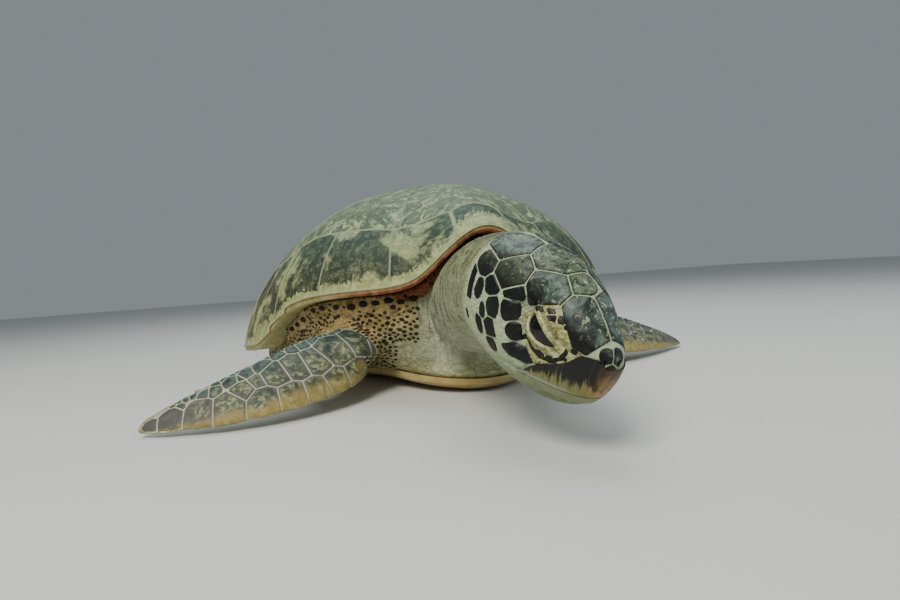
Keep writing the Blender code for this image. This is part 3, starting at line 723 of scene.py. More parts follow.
def nostril_mark(tree, place):
    """1 inside the nostrils."""
    found = None
    for nostril in nostrils:
        spot = tuple(round(float(part), 4) for part in nostril)
        away = vector_reckon(tree, "DISTANCE", place, spot)
        found = away if found is None else reckon(tree, "MINIMUM", found, away)
    return between(tree, found, 0.0026, 0.0016)


paint, tree, place = new_paint("Head scales")
chart = add_node(tree, "ShaderNodeUVMap", uv_map="OFBake").outputs[0]
parts = axes(tree, chart)
turned = reckon(tree, "ABSOLUTE", reckon(tree, "SUBTRACT", parts["X"], 0.5))
crown = between(tree, turned, 0.20, 0.09)
inside = read_value(tree, "inside")
tone = read_value(tree, "tone")
cloud = patches(tree, place, 52.0, 0.50, 0.07)
fine = patches(tree, place, 130.0, 0.42, 0.05)
fleck = patches(tree, place, 230.0, 0.24, 0.03)
deep = blend(tree, tone, (0.0022, 0.0026, 0.002), (0.0065, 0.0085, 0.0062))
upper = blend(tree, cloud, (0.016, 0.024, 0.021), (0.096, 0.15, 0.112))
upper = blend(tree, times(tree, fine, 0.62), upper, (0.01, 0.019, 0.018))
bronze = blend(tree, fine, (0.15, 0.185, 0.09), (0.018, 0.03, 0.024))
upper = blend(tree, times(tree, reckon(tree, "GREATER_THAN", tone, 0.62), 0.55), upper, bronze)
middle_share = times(tree, crown, between(tree, inside, 0.3, 3.2))
middle_share = scaled(tree, middle_share, 0.85, times(tree, crown, 0.12))
colour = blend(tree, middle_share, deep, upper)
fleck_share = times(tree, fleck, scaled(tree, crown, 0.85, 0.06))
colour = blend(tree, fleck_share, colour, (0.4, 0.44, 0.28))
colour = blend(tree, nostril_mark(tree, place), colour, (0.002, 0.002, 0.002))
finish_paint(paint, colour, 0.42, 0.30, head_scales)
bumpy(tree, noise(tree, place, 260.0, 5.0, 0.6), 0.0004, 0.6)

# ------------------------------------------------------------------ scales of the flippers
# Each flipper wears two rows of large horny shields along its leading edge and its middle,
# narrow ones at the heel, and small ones crowding to the trailing edge, above and below alike.
# They lie edge to edge, with pale skin in the lines between them.
FRONT_RIGHT = {"heel": (-0.156, -0.340, 0.024), "tip": (-0.459, -0.393, 0.002), "bow": 0.066}
FRONT_LEFT = {"heel": (0.165, -0.340, 0.024), "tip": (0.455, -0.212, 0.002), "bow": 0.020}
HIND_RIGHT = {"heel": (-0.152, 0.400, 0.020), "tip": (-0.250, 0.605, 0.004), "bow": -0.012}
HIND_LEFT = {"heel": (0.152, 0.400, 0.020), "tip": (0.250, 0.605, 0.004), "bow": -0.012}
FRONT_TILT, HIND_TILT = radians(46), radians(8)
FRONT_CHORD, HIND_CHORD = 0.128, 0.118
BLADE_ROOT = -0.030              # where the large shields of a blade end, in shares of its span
HEEL_TURN = radians(38)          # how far the heel is rounded towards the trailing edge
HEEL_BACK = 0.36                 # where that rounding starts, in shares of the chord
BLADE_MARKS = (-0.10, -0.025, 0.04, 0.15, 0.32, 0.52, 0.72, 0.90, 1.0, 1.1)
# how wide a blade is at a share of its span, in shares of the chord
FRONT_WIDTHS = ((-0.12, 0.70), (0.04, 0.84), (0.15, 0.97), (0.32, 0.97), (0.52, 0.80),
                (0.72, 0.58), (0.90, 0.35), (1.0, 0.13))
HIND_WIDTHS = ((-0.03, 0.50), (0.10, 0.78), (0.38, 0.95), (0.68, 1.0), (0.88, 0.82), (1.0, 0.34))
# share of the span, share of the chord from the leading edge, half length and width in metres
FRONT_SHIELDS = (
    (0.095, 0.17, 0.021, 0.021), (0.205, 0.20, 0.020, 0.018), (0.300, 0.18, 0.021, 0.017),
    (0.400, 0.20, 0.023, 0.020), (0.510, 0.24, 0.025, 0.021), (0.640, 0.33, 0.027, 0.019),
    (0.755, 0.38, 0.025, 0.017), (0.855, 0.42, 0.020, 0.014), (0.940, 0.45, 0.012, 0.011),
    (-0.010, 0.58, 0.032, 0.008), (0.030, 0.60, 0.036, 0.011), (0.085, 0.62, 0.038, 0.017),
    (0.190, 0.63, 0.036, 0.021), (0.285, 0.56, 0.030, 0.017), (0.370, 0.57, 0.027, 0.018),
    (0.450, 0.58, 0.025, 0.017), (0.525, 0.58, 0.012, 0.012), (0.585, 0.50, 0.028, 0.010),
    (0.270, 0.90, 0.009, 0.010), (0.325, 0.88, 0.011, 0.009), (0.375, 0.88, 0.010, 0.010),
    (0.430, 0.87, 0.010, 0.010), (0.500, 0.81, 0.012, 0.014), (0.570, 0.82, 0.010, 0.011),
    (0.635, 0.80, 0.009, 0.010), (0.690, 0.74, 0.009, 0.008), (0.735, 0.82, 0.008, 0.008))
# small scales strewn along a line: share of the chord, first and last share, step and size
FRONT_CROWD = ((0.95, 0.10, 0.97, 0.028, 0.0062), (0.78, 0.60, 0.95, 0.032, 0.0064),
               (0.90, 0.50, 0.97, 0.030, 0.0060), (0.98, 0.40, 0.985, 0.022, 0.0052),
               (0.68, 0.82, 0.98, 0.030, 0.0060))
HIND_SHIELDS = (
    (0.10, 0.25, 0.020, 0.018), (0.26, 0.22, 0.021, 0.019), (0.42, 0.24, 0.021, 0.018),
    (0.57, 0.27, 0.020, 0.017), (0.71, 0.32, 0.018, 0.015), (0.84, 0.38, 0.015, 0.013),
    (0.94, 0.45, 0.011, 0.010), (0.14, 0.62, 0.021, 0.018), (0.31, 0.58, 0.022, 0.018),
    (0.47, 0.60, 0.021, 0.017), (0.62, 0.62, 0.019, 0.016), (0.76, 0.66, 0.016, 0.014))
HIND_CROWD = ((0.90, 0.06, 0.92, 0.060, 0.0085), (0.76, 0.84, 0.96, 0.060, 0.0070))

FRONT = {"tilt": FRONT_TILT, "chord": FRONT_CHORD, "widths": FRONT_WIDTHS,
         "shields": FRONT_SHIELDS, "crowd": FRONT_CROWD}
HIND = {"tilt": HIND_TILT, "chord": HIND_CHORD, "widths": HIND_WIDTHS,
        "shields": HIND_SHIELDS, "crowd": HIND_CROWD}
BLADES = {"front_flipper_scales_right": {**FRONT, **FRONT_RIGHT},
          "front_flipper_scales_left": {**FRONT, **FRONT_LEFT},
          "hind_flipper_scales_right": {**HIND, **HIND_RIGHT},
          "hind_flipper_scales_left": {**HIND, **HIND_LEFT}}


def read_off(pairs, value):
    """A height read off a line drawn through pairs of numbers."""
    return np.interp(value, [pair[0] for pair in pairs], [pair[1] for pair in pairs])


def blade_line(blade, share):
    """The leading edge of a flipper at a share of its span, and the directions there."""
    heel, tip, bow, tilt = np.array(blade["heel"]), np.array(blade["tip"]), blade["bow"], blade["tilt"]
    along = tip - heel
    plan = np.array((along[0], along[1], 0.0)) / np.hypot(along[0], along[1])
    back = np.array((-plan[1], plan[0], 0.0))
    back = -back if back[1] < 0 else back
    share = np.atleast_1d(share)[:, None]
    drop = heel[2] - tip[2]
    marks = np.array(BLADE_MARKS)
    curve = 4 * marks * (1 - marks)
    curve[1:-1] = 0.75 * curve[1:-1] + 0.125 * (curve[:-2] + curve[2:])
    curve = np.interp(share, marks, curve)
    lead = heel + along * share - back * bow * curve
    lead[:, 2:] = tip[2] + drop * np.interp(share, marks, np.clip(1 - marks, 0, None) ** 2)
    run = along - back * bow * 4 * (1 - 2 * share)
    run[:, 2:] = -2 * drop * np.clip(1 - share, 0, None)
    run /= np.linalg.norm(run, axis=1)[:, None]
    chord = back * cos(tilt) + np.array((0, 0, sin(tilt)))
    way = np.cross(run, chord)
    way *= np.where(way[:, 2:] > 0, 1.0, -1.0) / np.linalg.norm(way, axis=1)[:, None]
    return lead, chord, way, run


def blade_shares(blade, places):
    """Where places lie on a flipper: share of the span, share of the chord and how far off it."""
    heel, tip = np.array(blade["heel"]), np.array(blade["tip"])
    along = tip - heel
    share = (places - heel) @ along / (along @ along)
    lead, chord, way, _ = blade_line(blade, share)
    across = np.einsum("ij,j->i", places - lead, chord)
    off = np.abs(np.einsum("ij,ij->i", places - lead, way))
    return share, across / (blade["chord"] * read_off(blade["widths"], share)), off


def blade_planes(blade, place, upward):
    """Trims a blade's shields at its leading and trailing edges and round its heel."""
    heel, tip = np.array(blade["heel"]), np.array(blade["tip"])
    share = (place - heel) @ (tip - heel) / ((tip - heel) @ (tip - heel))
    lead, chord, out, _ = blade_line(blade, share)
    root, _, _, run = blade_line(blade, BLADE_ROOT)
    wide = float(read_off(blade["widths"], share))
    limit = 0.93 if share < 0.14 else 1.2
    return [(lead[0] + out[0] * upward * 0.0002, -out[0] * upward), (root[0], -run[0]),
            (lead[0] + chord * blade["chord"] * wide * limit, chord),
            (root[0] + chord * blade["chord"] * HEEL_BACK,
             chord * sin(HEEL_TURN) - run[0] * cos(HEEL_TURN))]


def blade_seeds(surface, blade, upward):
    """Seeds over one side of a flipper, large ones first and small ones between them."""
    listed = [tuple(item) + (0.0,) for item in blade["shields"]]
    for across, start, stop, step, size in blade["crowd"]:
        for share in np.arange(start, stop, step):
            shift = float(chance.uniform(-0.012, 0.012))
            wide = size * float(chance.uniform(0.9, 1.15))
            listed.append((float(share) + shift * 0.6, across + shift * 2, wide, wide, 1.0))
    seeds = []
    for share, across, long, short, small in listed:
        lead, chord, way, _ = blade_line(blade, share)
        way = way[0]
        wide = float(read_off(blade["widths"], share))
        target = lead[0] + chord * blade["chord"] * wide * across + way * upward * 0.006
        _, index, _ = surface["finder"].find(target, filter=lambda i: bool(
            surface["open"][i] and surface["ways"][i] @ way * upward > 0.1))
        place, out = surface["middles"][index].copy(), surface["ways"][index].copy()
        if small and any(np.linalg.norm(other[0] - place) < 0.74 * sqrt(other[3] * other[4])
                         + 0.45 * long for other in seeds):
            continue
        near = [index for _, index, _ in surface["finder"].find_range(place, 0.008)]
        near = [i for i in near if surface["ways"][i] @ out > 0.3]
        out = surface["ways"][near].mean(axis=0)
        out /= np.linalg.norm(out)
        seeds.append((place, out, square_to(out, chord), long, short, 0.0,
                      float(chance.random()), small))
    return seeds


def blade_map(blade, upward):
    def read(place):
        share, across, _ = blade_shares(blade, np.array(place)[None, :])
        low = 0.03 if upward > 0 else 0.53
        return 0.06 + 0.88 * float(share[0]), low + 0.44 * float(np.clip(across[0], 0, 1))
    return read


def clothe_blade(name, blade):
    """All the scales of one flipper, above and below, as one piece."""
    coat = new_coat()
    share, across, off = blade_shares(blade, surface["middles"])
    surface["open"] = ((share > -0.11) & (share < 1.08) & (across > -0.15) & (across < 1.12)
                       & (off < 0.04))
    for upward in (1, -1):
        add_cells(coat, surface, blade_seeds(surface, blade, upward), blade_map(blade, upward),
                  gap=0.0012, crowd=1.35, sides=12, bevel=0.0010, facing=0.10,
                  parting=lambda place: blade_planes(blade, place, upward))
    return finish_coat(coat, name)


limb_scales = [clothe_blade(name, blade) for name, blade in BLADES.items()]

paint, tree, place = new_paint("Flipper scales")
chart = add_node(tree, "ShaderNodeUVMap", uv_map="OFBake").outputs[0]
parts = axes(tree, chart)
below = reckon(tree, "GREATER_THAN", parts["Y"], 0.5)
across = scaled(tree, below, -0.5, parts["Y"])
across = between(tree, across, 0.03, 0.47)
inside = read_value(tree, "inside")
tone = read_value(tree, "tone")
cloud = patches(tree, place, 75.0, 0.46, 0.07)
dark_cloud = patches(tree, place, 105.0, 0.46, 0.05)
centre = blend(tree, cloud, (0.078, 0.09, 0.058), (0.29, 0.31, 0.145))
centre = blend(tree, times(tree, dark_cloud, 0.82), centre, (0.02, 0.032, 0.03))
rim = blend(tree, tone, (0.08, 0.076, 0.074), (0.135, 0.118, 0.112))
colour = blend(tree, between(tree, inside, 1.0, 5.0), rim, centre)
teal = blend(tree, cloud, (0.014, 0.034, 0.035), (0.06, 0.115, 0.1))
colour = blend(tree, times(tree, between(tree, across, 0.52, 1.0), 0.85), colour, teal)
ochre = blend(tree, cloud, (0.3, 0.225, 0.07), (0.42, 0.335, 0.12))
ochre = blend(tree, times(tree, dark_cloud, 0.35), ochre, (0.15, 0.12, 0.06))
lead = plus(tree, across, scaled(tree, cloud, 0.09, -0.045))
colour = blend(tree, between(tree, lead, 0.19, 0.02), colour, ochre)
pale = blend(tree, cloud, (0.34, 0.3, 0.15), (0.44, 0.4, 0.215))
colour = blend(tree, times(tree, below, 0.9), colour, pale)
finish_paint(paint, colour, 0.48, 0.25, *limb_scales)
bumpy(tree, noise(tree, place, 300.0, 5.0, 0.6), 0.0005, 0.7)

# ------------------------------------------------------------------ scales of the body
# The shoulders, thighs and tail carry small oval scales, set apart in golden skin, with a row of
# larger ones just under the shell's rim. Each is a low dome of horn grown from the skin.
SHELL_WIDE, SHELL_AHEAD, SHELL_BEHIND = 0.368, 0.416, 0.520
SPOT_SPACING, SPOT_LENGTH, SPOT_WIDTH, SPOT_RISE = 0.0064, 0.0042, 0.0027, 0.0006
SPOT_ON_MAP = 0.0015             # a small scale's reach on the map
PLATE_CLEAR = 0.0035             # bare skin beside the shell and the plastron
# the rows under the rim: from and to below it, spacing, half length and half width
RIM_ROWS = ((0.009, 0.016, 0.0178, 0.0092, 0.0058), (0.019, 0.026, 0.0125, 0.0060, 0.0042))


def add_small_scale(coat, tree, seed, way, ahead, long, short, tone):
    """One low oval dome of 24 faces that follows the surface under it."""
    across = np.cross(way, ahead)
    root = body_map(seed)
    start = len(coat["places"])
    places, maps = [seed + way * SPOT_RISE], [root]
    for share, lift in ((0.66, SPOT_RISE * 0.85), (1.0, -0.0003)):
        for step in range(8):
            angle = 2 * pi * step / 8
            spot = seed + (ahead * cos(angle) * long + across * sin(angle) * short) * share
            on, out, _, _ = tree.find_nearest(Vector(spot))
            places.append(np.array(on) + np.array(out) * lift)
            maps.append((root[0] + SPOT_ON_MAP * share * cos(angle),
                         root[1] + SPOT_ON_MAP * share * sin(angle)))
    places.append(seed - way * 0.0012)
    maps.append(root)
    coat["places"].extend(tuple(place) for place in places)
    coat["inside"].extend([2.0] + [1.0] * 8 + [0.0] * 9)
    coat["tone"].extend([tone] * 18)
    coat["kind"].extend([2.0] * 18)
    coat["root"].extend([tuple(seed)] * 18)
    for step in range(8):
        following = (step + 1) % 8
        for face in ((0, 1 + step, 1 + following), (9 + step, 17, 9 + following),
                     (1 + step, 9 + step, 9 + following, 1 + following)):
            coat["faces"].append([start + corner for corner in face])
            coat["maps"].extend(maps[corner] for corner in face)


def body_map(place):
    return 0.5 + float(np.arctan2(place[0], place[2] - 0.12)) / (2 * pi), (float(place[1]) + 0.75) / 1.5


def strewn(middles, weights, order):
    """Middles thrown down in turn, each no nearer to the rest than its own spacing."""
    cells, kept = {}, []
    for index in order:
        place, space = middles[index], weights[index]
        if space <= 0:
            continue
        cell = (place / 0.012).astype(int)
        about = [other for step in product((-1, 0, 1), repeat=3)
                 for other in cells.get(tuple(cell + step), ())]
        if all(np.linalg.norm(middles[other] - place) >= space for other in about):
            cells.setdefault(tuple(cell), []).append(index)
            kept.append(index)
    return kept


def level_way(way):
    """The level direction along a surface whose outward way is given."""
    return square_to(way, np.cross(way, (0.0, 0.0, 1.0)) + np.array((0.0, 1e-4, 0.0)))


def tree_of(thing):
    thing.data.update()
    return BVHTree.FromPolygons([vert.co for vert in thing.data.vertices],
                                [tuple(face.vertices) for face in thing.data.polygons])


skin_tree = tree_of(skin)
shell_tree = tree_of(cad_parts["carapace"])
plate_tree = tree_of(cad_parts["plastron"])
middles = surface["middles"]
horned = surface["places"][surface["under"] > 0.5]
horned_finder = finder_of(horned)


def near_plates(places, near, far):
    """1 on the large shields and the lines between them, 0 from far away from them on."""
    away = np.array([horned_finder.find(place)[2] for place in places])
    return ease(far, near, away)


in_head_middles = in_head(middles)
room = np.where((np.abs(middles[:, 1]) < 0.70) & (in_head_middles[:, 1] > 1.02), SPOT_SPACING, 0.0)
neck_like = (in_head_middles[:, 1] < 2.2) & (middles[:, 1] < -0.30)
neck_like &= np.abs(middles[:, 0] - 0.01) < 0.100
chest = (middles[:, 1] < -0.25) & (middles[:, 2] < 0.075) & (np.abs(middles[:, 0]) < 0.120)
room[neck_like | chest] = 0.0
room[(middles[:, 2] < 0.012) & (np.abs(middles[:, 0]) < 0.2)] = 0.0
reach_out = np.hypot(middles[:, 0] / SHELL_WIDE,
                     middles[:, 1] / np.where(middles[:, 1] < 0, SHELL_AHEAD, SHELL_BEHIND))
room[(reach_out < 0.45) & (middles[:, 1] < 0.3)] = 0.0
room[near_plates(middles, 0.002, 0.0045) > 0.4] = 0.0
for blade in BLADES.values():
    share, across, off = blade_shares(blade, middles)
    room[(share > 0.05) & (share < 1.2) & (across > -0.4) & (across < 1.15) & (off < 0.022)] = 0.0
spot_coat = new_coat()
held = []
# The rows of large ovals close under the shell's rim, then the small ones wherever room is left.
order = chance.permutation(np.nonzero(room > 0)[0])
under_rim = np.zeros(len(middles))
for index in order:
    place, way = middles[index], surface["ways"][index]
    if way[2] < -0.2 or abs(place[1]) > 0.45:
        continue
    under_rim[index] = shell_tree.find_nearest(Vector(place))[3]
for near, far, spacing, long, short in RIM_ROWS:
    wanted = np.where((under_rim > near) & (under_rim < far) & (room > 0), spacing, 0.0)
    row_order = [index for index in order if wanted[index] > 0]
    for index in strewn(middles, wanted, row_order):
        place, way = middles[index], surface["ways"][index]
        if any(np.linalg.norm(place - other) < 0.78 * (size + long) for other, size in held):
            continue
        wide = float(chance.uniform(0.8, 1.15))
        ahead = level_way(way)
        add_small_scale(spot_coat, skin_tree, place, way, ahead, long * wide, short * wide,
                        float(chance.random()) * 0.4)
        held.append((place, long * wide))
held_finder = finder_of([place for place, _ in held])
for index in strewn(middles, room, order):
    place, way = middles[index], surface["ways"][index]
    if any(plates.find_nearest(Vector(place))[3] < PLATE_CLEAR for plates in (shell_tree, plate_tree)):
        continue
    if held:
        _, number, away = held_finder.find(place)
        if away < held[number][1] + 0.0030:
            continue
    cast = shell_tree.ray_cast(Vector(place + way * 0.001), Vector(way))
    if cast[3] is not None and cast[3] < 0.008:
        continue
    ahead = level_way(way)
    wide = float(chance.uniform(0.70, 1.25))
    thin = float(chance.uniform(0.85, 1.25))
    turn = float(chance.normal(0.0, 0.30))
    ahead = ahead * cos(turn) + np.cross(way, ahead) * sin(turn)
    add_small_scale(spot_coat, skin_tree, place, way, ahead, SPOT_LENGTH * wide,
                    SPOT_WIDTH * wide * thin, float(chance.random()))
body_scales = finish_coat(spot_coat, "body_scales")

paint, tree, _ = new_paint("Body scales")
tone = read_value(tree, "tone")
colour = blend(tree, tone, (0.0085, 0.0065, 0.004), (0.042, 0.028, 0.013))
finish_paint(paint, colour, 0.55, 0.20, body_scales)

# ------------------------------------------------------------------ colours of the skin
# The skin carries the same markings as the scales on it: pale lines between the shields, dark
# under them, golden on the body, cream on the chest, streaked green on the neck. It is coloured
# after the scales because they mark the skin they cover.
RING_AHEAD, RING_UP = 0.0040, 0.0020          # the dark ring's middle from the eye slit's
RING_FRONT, RING_REAR, RING_HIGH = 0.0290, 0.0250, 0.0228   # its half lengths and half height

# A net of fine creases: low along wandering lines, high on the cushions between them.
creases, given, result = new_group("Crease net", (
    ("Vector", "NodeSocketVector", None), ("Scale", "NodeSocketFloat", 120.0),
    ("Stretch", "NodeSocketVector", (1.0, 1.0, 1.0))), "Height", "NodeSocketFloat")
drift = add_node(creases, "ShaderNodeTexNoise", {
    "Vector": given["Vector"], "Scale": 28.0, "Detail": 3.0}).outputs["Color"]
moved = vector_reckon(creases, "MULTIPLY", drift, (0.012, 0.012, 0.012))
moved = vector_reckon(creases, "ADD", given["Vector"], moved)
moved = vector_reckon(creases, "MULTIPLY", moved, given["Stretch"])
cell = add_node(creases, "ShaderNodeTexVoronoi", {
    "Vector": moved, "Scale": given["Scale"]}, feature="DISTANCE_TO_EDGE").outputs["Distance"]
creases.links.new(between(creases, cell, 0.0, 0.16), result)

places = places_of(skin)
local = in_head(places)
mark(skin.data, "under", surface["under"])
mark(skin.data, "lid_measure", lid_measure)
mark(skin.data, "lid_upper", lid_upper)
plated = near_plates(places, 0.0015, 0.0070)
front_lead = np.zeros(len(places))
near_blade = np.zeros(len(places))
trail_share = np.zeros(len(places))
for name, blade in BLADES.items():
    share, across, _ = blade_shares(blade, places)
    lead = blade_line(blade, share)[0]
    on = (share > -0.2) & (share < 1.15) & (across > -0.3) & (across < 1.3)
    near_blade = np.maximum(near_blade, on * (np.linalg.norm(places - lead, axis=1) < 0.16))
    if name.startswith("front"):
        front_lead = np.maximum(front_lead, ease(0.16, 0.0, across) * on)
        on = (share > 0.05) & (share < 1.15)
        trail_share = np.maximum(trail_share, ease(0.60, 0.98, across) * on)
mark(skin.data, "blade", plated * near_blade)
mark(skin.data, "lead", front_lead * plated)
mark(skin.data, "trail", trail_share * plated * near_blade)
head_share = ease(1.04, 0.94, local[:, 1]) * (np.abs(local[:, 0]) < 0.6) * (np.abs(local[:, 2]) < 0.7)
mark(skin.data, "head", head_share)
neck_share = ease(0.92, 1.06, local[:, 1]) * ease(2.6, 2.3, local[:, 1])
neck_share *= ease(0.114, 0.096, np.abs(places[:, 0] - 0.01)) * (places[:, 1] < -0.25)
mark(skin.data, "neck", neck_share * ease(0.03, 0.05, places[:, 2]))
chest_share = ease(-0.20, -0.26, places[:, 1]) * ease(0.160, 0.118, np.abs(places[:, 0]))
chest_share *= 1 - head_share
chest_share *= ease(0.108, 0.082, places[:, 2] + 0.010 * ripple(places, 0.020, 5.0))
mark(skin.data, "chest", chest_share * (1 - plated * near_blade))
# Painted shade under the shell's rim: the neck's skin close under it is painted dark red-brown,
# strongest nearest the rim.
painted_rim_shade_share = np.zeros(len(places))
for index in np.nonzero((places[:, 1] < -0.28) & (places[:, 2] > 0.10) & (local[:, 1] > 1.06))[0]:
    painted_rim_shade_share[index] = ease(0.021, 0.009, shell_tree.find_nearest(Vector(places[index]))[3])
painted_rim_shade_share *= ease(0.150, 0.115, np.abs(places[:, 0] - 0.01))
mark(skin.data, "painted_rim_shade", painted_rim_shade_share)
around_eye = np.zeros(len(places))
for side in (-1, 1):
    centre, out, slant, across_way = eye_frame(side)
    off = places - centre - HEAD_TURN @ (np.array(LID_SHIFT) * HEAD_LENGTH)
    along, over = off @ slant, off @ across_way
    long = np.where(along > RING_AHEAD, RING_FRONT, RING_REAR)
    oval = np.hypot((along - RING_AHEAD) / long, (over - RING_UP) / RING_HIGH)
    ring = np.exp(-((oval - 1.0) / 0.080) ** 2) * ease(0.0130, 0.0080, over)
    around_eye = np.maximum(around_eye, ring * (np.linalg.norm(off, axis=1) < 0.05))
mark(skin.data, "ring", around_eye)

paint, tree, place = new_paint("Turtle skin")
marks = {name: read_value(tree, name) for name in
         ("under", "lid_measure", "lid_upper", "blade", "lead", "trail", "head", "neck",
          "chest", "ring", "painted_rim_shade")}
parts = axes(tree, place)
cloud = patches(tree, place, 24.0, 0.5, 0.12)
small_cloud = patches(tree, place, 95.0, 0.44, 0.08)
fine_cloud = patches(tree, place, 260.0, 0.42, 0.08)
golden = blend(tree, cloud, (0.29, 0.2, 0.066), (0.44, 0.34, 0.14))
golden = blend(tree, times(tree, small_cloud, 0.75), golden, (0.095, 0.06, 0.024))
golden = blend(tree, times(tree, fine_cloud, 0.35), golden, (0.48, 0.4, 0.2))
chest = blend(tree, cloud, (0.33, 0.34, 0.17), (0.48, 0.49, 0.3))
# Painted shade in the creases: the chest is darkened along the lines of a crease net.
crack = place_group(tree, creases, {"Vector": place, "Scale": 70.0, "Stretch": (1.0, 1.0, 1.6)})
painted_crease_shade = times(tree, reckon(tree, "SUBTRACT", 1.0, crack), 0.50)
chest = blend(tree, painted_crease_shade, chest, (0.12, 0.105, 0.05))
colour = blend(tree, marks["chest"], golden, chest)
neck_low = blend(tree, cloud, (0.33, 0.36, 0.21), (0.5, 0.52, 0.36))
neck_high = blend(tree, cloud, (0.115, 0.128, 0.062), (0.27, 0.29, 0.15))
neck_up = plus(tree, parts["Z"], scaled(tree, cloud, 0.04, -0.02))
neck = blend(tree, between(tree, neck_up, 0.085, 0.205), neck_low, neck_high)
streak = vector_reckon(tree, "MULTIPLY", place, (150.0, 190.0, 20.0))
streak_noise = noise(tree, streak, 1.0, 5.0, 0.65, 0.5)
higher = scaled(tree, between(tree, neck_up, 0.06, 0.12), 0.55, 0.17)
streaks = times(tree, between(tree, streak_noise, 0.50, 0.62), higher)
neck = blend(tree, streaks, neck, (0.046, 0.058, 0.026))
light_streaks = between(tree, streak_noise, 0.42, 0.32)
neck = blend(tree, times(tree, light_streaks, 0.45), neck, (0.52, 0.55, 0.4))
colour = blend(tree, marks["neck"], colour, neck)
# Painted shade under the shell's rim: dark red-brown on the neck's skin close to it, broken up by the
# streaks.
painted_rim_shade = plus(tree, marks["painted_rim_shade"], scaled(tree, streak_noise, 0.8, -0.4))
red_and_rim_shade = blend(tree, small_cloud, (0.23, 0.075, 0.028), (0.062, 0.02, 0.01))
red_and_rim_shade = blend(tree, times(tree, fine_cloud, 0.45), red_and_rim_shade, (0.38, 0.19, 0.085))
colour = blend(tree, between(tree, painted_rim_shade, 0.3, 0.62), colour, red_and_rim_shade)
lines = blend(tree, cloud, (0.43, 0.48, 0.32), (0.52, 0.56, 0.4))
colour = blend(tree, marks["blade"], colour, lines)
colour = blend(tree, marks["lead"], colour, (0.4, 0.32, 0.12))
colour = blend(tree, times(tree, marks["trail"], 0.7), colour, (0.13, 0.185, 0.155))
cheek_up = between(tree, parts["Z"], 0.050, 0.105)
cheek = blend(tree, cheek_up, (0.15, 0.18, 0.085), (0.43, 0.5, 0.31))
cheek = blend(tree, times(tree, small_cloud, 0.4), cheek, (0.23, 0.28, 0.14))
cheek = blend(tree, times(tree, light_streaks, 0.25), cheek, (0.56, 0.62, 0.48))
colour = blend(tree, marks["head"], colour, cheek)
measure = marks["lid_measure"]
off_upper = scaled(tree, marks["lid_upper"], -0.42, measure)
wander = plus(tree, off_upper, scaled(tree, noise(tree, place, 190.0, 3.0), 0.30, -0.15))
lid_colour = blend(tree, between(tree, noise(tree, place, 300.0, 4.0), 0.42, 0.6),
                   (0.25, 0.245, 0.095), (0.47, 0.455, 0.2))
band = times(tree, between(tree, wander, 1.16, 1.34), between(tree, wander, 1.80, 1.56))
lid_colour = blend(tree, times(tree, band, 0.55), lid_colour, (0.105, 0.11, 0.048))
rim_band = times(tree, between(tree, wander, 1.00, 1.08), between(tree, wander, 1.30, 1.18))
lid_colour = blend(tree, rim_band, lid_colour, (0.47, 0.48, 0.27))
colour = blend(tree, between(tree, measure, 3.6, 2.5), colour, lid_colour)
colour = blend(tree, between(tree, measure, 1.06, 0.96), colour, (0.012, 0.012, 0.009))
ring = plus(tree, marks["ring"], scaled(tree, noise(tree, place, 260.0, 3.0), 0.5, -0.25))
colour = blend(tree, between(tree, ring, 0.35, 0.6), colour, (0.0075, 0.0085, 0.006))
shade = times(tree, marks["under"], scaled(tree, marks["blade"], -0.75, 1.0))
colour = blend(tree, shade, colour, (0.03, 0.042, 0.032))
colour = blend(tree, nostril_mark(tree, place), colour, (0.003, 0.003, 0.003))
skin.data.materials.clear()
finish_paint(paint, colour, 0.60, 0.22, skin)
shader = tree.nodes["Principled BSDF"]
shader.inputs["Subsurface Weight"].default_value = 0.04
shader.inputs["Subsurface Radius"].default_value = (0.010, 0.005, 0.003)
net = place_group(tree, creases, {"Vector": place, "Scale": 95.0, "Stretch": (1.0, 0.6, 1.5)})
first = bumpy(tree, net, 0.0011, 0.7)
second = bumpy(tree, times(tree, streak_noise, marks["neck"]), 0.0060, 0.8, first)
bumpy(tree, noise(tree, place, 330.0, 5.0, 0.6), 0.0006, 0.6, second)
only(skin)
bpy.ops.object.shade_smooth()
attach(skin, "root")
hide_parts(*FLESH)

# ------------------------------------------------------------------ beak
# The beak is two sheaths of horn grown over the jaws: the upper one deep and hooked, streaked
# black over olive and amber, the lower one a narrow paler band that closes inside it.

# how far back and how high the mouth's line and the beak's upper edge run, in head lengths
MOUTH_LINE = ((-0.08, -0.215), (0.03, -0.222), (0.10, -0.246), (0.20, -0.264), (0.30, -0.280),
              (0.38, -0.287), (0.43, -0.293), (0.52, -0.305))
BEAK_TOP = ((-0.08, -0.03), (0.01, -0.035), (0.045, 0.0), (0.115, -0.015), (0.165, -0.085),
            (0.225, -0.133), (0.29, -0.168), (0.34, -0.215), (0.38, -0.262))


def smooth(thing):
    only(thing)
    bpy.ops.object.shade_smooth_by_angle(angle=radians(40))


upper_horn = rounded_copy("upper_beak", 3)
upper_horn.name = "upper_beak_horn"
lower_horn = rounded_copy("lower_beak", 3)
lower_horn.name = "lower_beak_horn"
for horn, node, slot in ((upper_horn, "upper_beak", "beak_horn"),
                         (lower_horn, "lower_beak", "lower_beak_horn")):
    smooth(horn)
    spots = in_head(places_of(horn))
    line, top = read_off(MOUTH_LINE, spots[:, 1]), read_off(BEAK_TOP, spots[:, 1])
    for key, values in (("above_mouth", (spots[:, 2] - line) * HEAD_LENGTH * 1000),
                        ("drop", (top - spots[:, 2]) / np.maximum(top - line, 0.02)),
                        ("back", spots[:, 1]), ("side", spots[:, 0])):
        mark(horn.data, key, values)
    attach(horn, "root")
    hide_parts(node)

